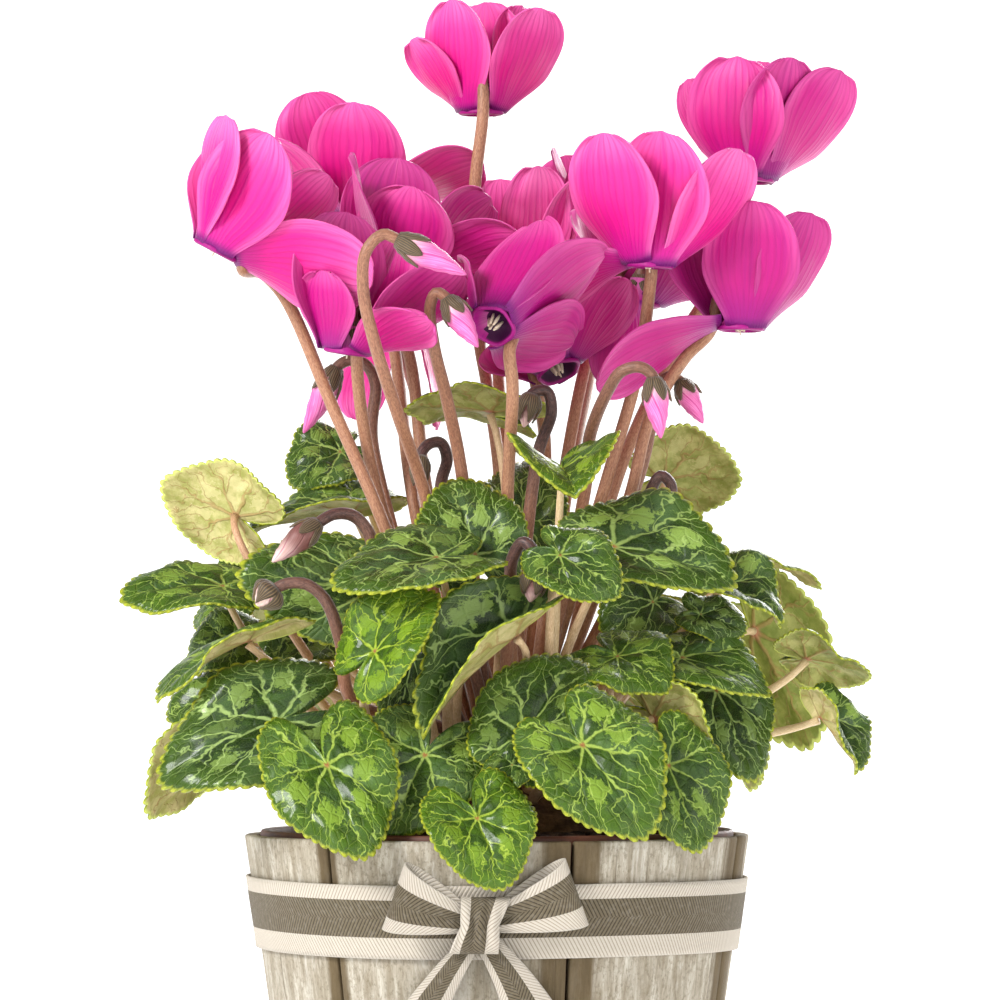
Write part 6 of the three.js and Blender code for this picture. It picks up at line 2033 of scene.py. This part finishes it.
def ribbon_bow():
    for side, loop in zip(("left", "right"), BOW_LOOPS):
        bow_sheet(f"bow_loop_{side}", 72, 24, loop_surface(loop),
                  lambda x, y: ((1 - y) / 2, (x + 1) * 29))
    for side, tail in zip(("left", "right"), BOW_TAILS):
        bow_sheet(f"bow_tail_{side}", 20, 64, tail_surface(tail),
                  lambda x, y: ((x + 1) / 2, (1 - y) * 37))
    bow_sheet("bow_knot", 30, 26, knot_surface, lambda x, y: ((x + 1) / 2, y * 14))


# Building the piece and the picture


def cyclamen():
    wanted = [(root, len(leaves)) for root, leaves in LEAF_CLUSTERS.values()]
    wanted += [(bunch["root"], len(bunch["blooms"]) + len(bunch["buds"])) for bunch in STEM_BUNCHES.values()]
    bases = spread_roots(wanted)
    add_leaves(bases[:len(LEAF_CLUSTERS)])
    add_stems(bases[len(LEAF_CLUSTERS):])
    for name, bloom in BLOOMS.items():
        add_bloom(name, bloom)


def pot():
    bottom_board()
    for index in range(len(BOARD_JOINTS)):
        board(index)
    ribbon_band()
    ribbon_bow()
    nursery_pot()
    soil()
    tuber()


FLOOR_HALF_WIDTH = 9000
FLOOR_FRONT = -13000
FLOOR_LENGTH = 18500
BACK_RISE_START = 2300
FRONT_RISE_START = -7000
RISE_RADIUS = 2600


def floor():
    """A wide pale floor that rises as a backdrop behind the plant, and far off before it."""
    bm = new_mesh()
    bmesh.ops.create_grid(bm, x_segments=2, y_segments=100, size=1)
    for vert in bm.verts:
        run = (vert.co.y + 1) / 2
        vert.co = Vector((vert.co.x * FLOOR_HALF_WIDTH, FLOOR_FRONT + run * FLOOR_LENGTH, 0))
        rise = max(vert.co.y - BACK_RISE_START, FRONT_RISE_START - vert.co.y, 0)
        vert.co.z = rise * rise / RISE_RADIUS
    bmesh.ops.scale(bm, vec=(MM, MM, MM), verts=bm.verts[:])
    mesh = bpy.data.meshes.new("studio floor")
    bm.to_mesh(mesh)
    bm.free()
    mesh.shade_smooth()
    material, n, shader = new_material("studio floor", 0.9, Specular_IOR_Level=0.1)
    n.join(n.mix(n.noise(n.spot(), 3, 2), rgb(250, 250, 250), rgb(253, 253, 253)), shader["Base Color"])
    shader["Emission Color"].default_value = (1, 1, 1, 1)
    shader["Emission Strength"].default_value = 0.62
    material.cycles.emission_sampling = "NONE"
    mesh.materials.append(material)
    backdrop = bpy.data.objects.new("studio_floor", mesh)
    bpy.context.collection.objects.link(backdrop)


def aim(thing, spot):
    way = spot * MM - thing.location
    thing.rotation_euler = way.to_track_quat("-Z", "Y").to_euler()


def area_light(name, spot, size, power, colour=(1, 1, 1)):
    lamp = bpy.data.lights.new(name, "AREA")
    lamp.shape = "DISK"
    lamp.size = size
    lamp.energy = power
    lamp.color = colour
    thing = bpy.data.objects.new(name, lamp)
    thing.location = Vector(spot) * MM
    aim(thing, Vector((0, 0, 200)))
    bpy.context.collection.objects.link(thing)


def studio():
    floor()
    world = bpy.data.worlds.new("white studio")
    world.use_nodes = True
    world.node_tree.nodes["Background"].inputs["Color"].default_value = (1, 1, 1, 1)
    world.node_tree.nodes["Background"].inputs["Strength"].default_value = 0.3
    bpy.context.scene.world = world
    bpy.context.scene.view_settings.view_transform = "Standard"
    area_light("key light", (-1500, -1300, 1400), 0.8, 60)
    area_light("fill light", (1300, -1300, 700), 1.2, 9)
    area_light("back light", (500, 1300, 900), 1.2, 40)


def camera():
    lens = bpy.data.cameras.new("camera")
    lens.lens = LENS
    lens.sensor_width = SENSOR
    lens.clip_end = 100
    thing = bpy.data.objects.new("camera", lens)
    thing.location = EYE * MM
    aim(thing, LOOK_AT)
    bpy.context.collection.objects.link(thing)
    bpy.context.scene.camera = thing


camera()
pot()
cyclamen()
studio()
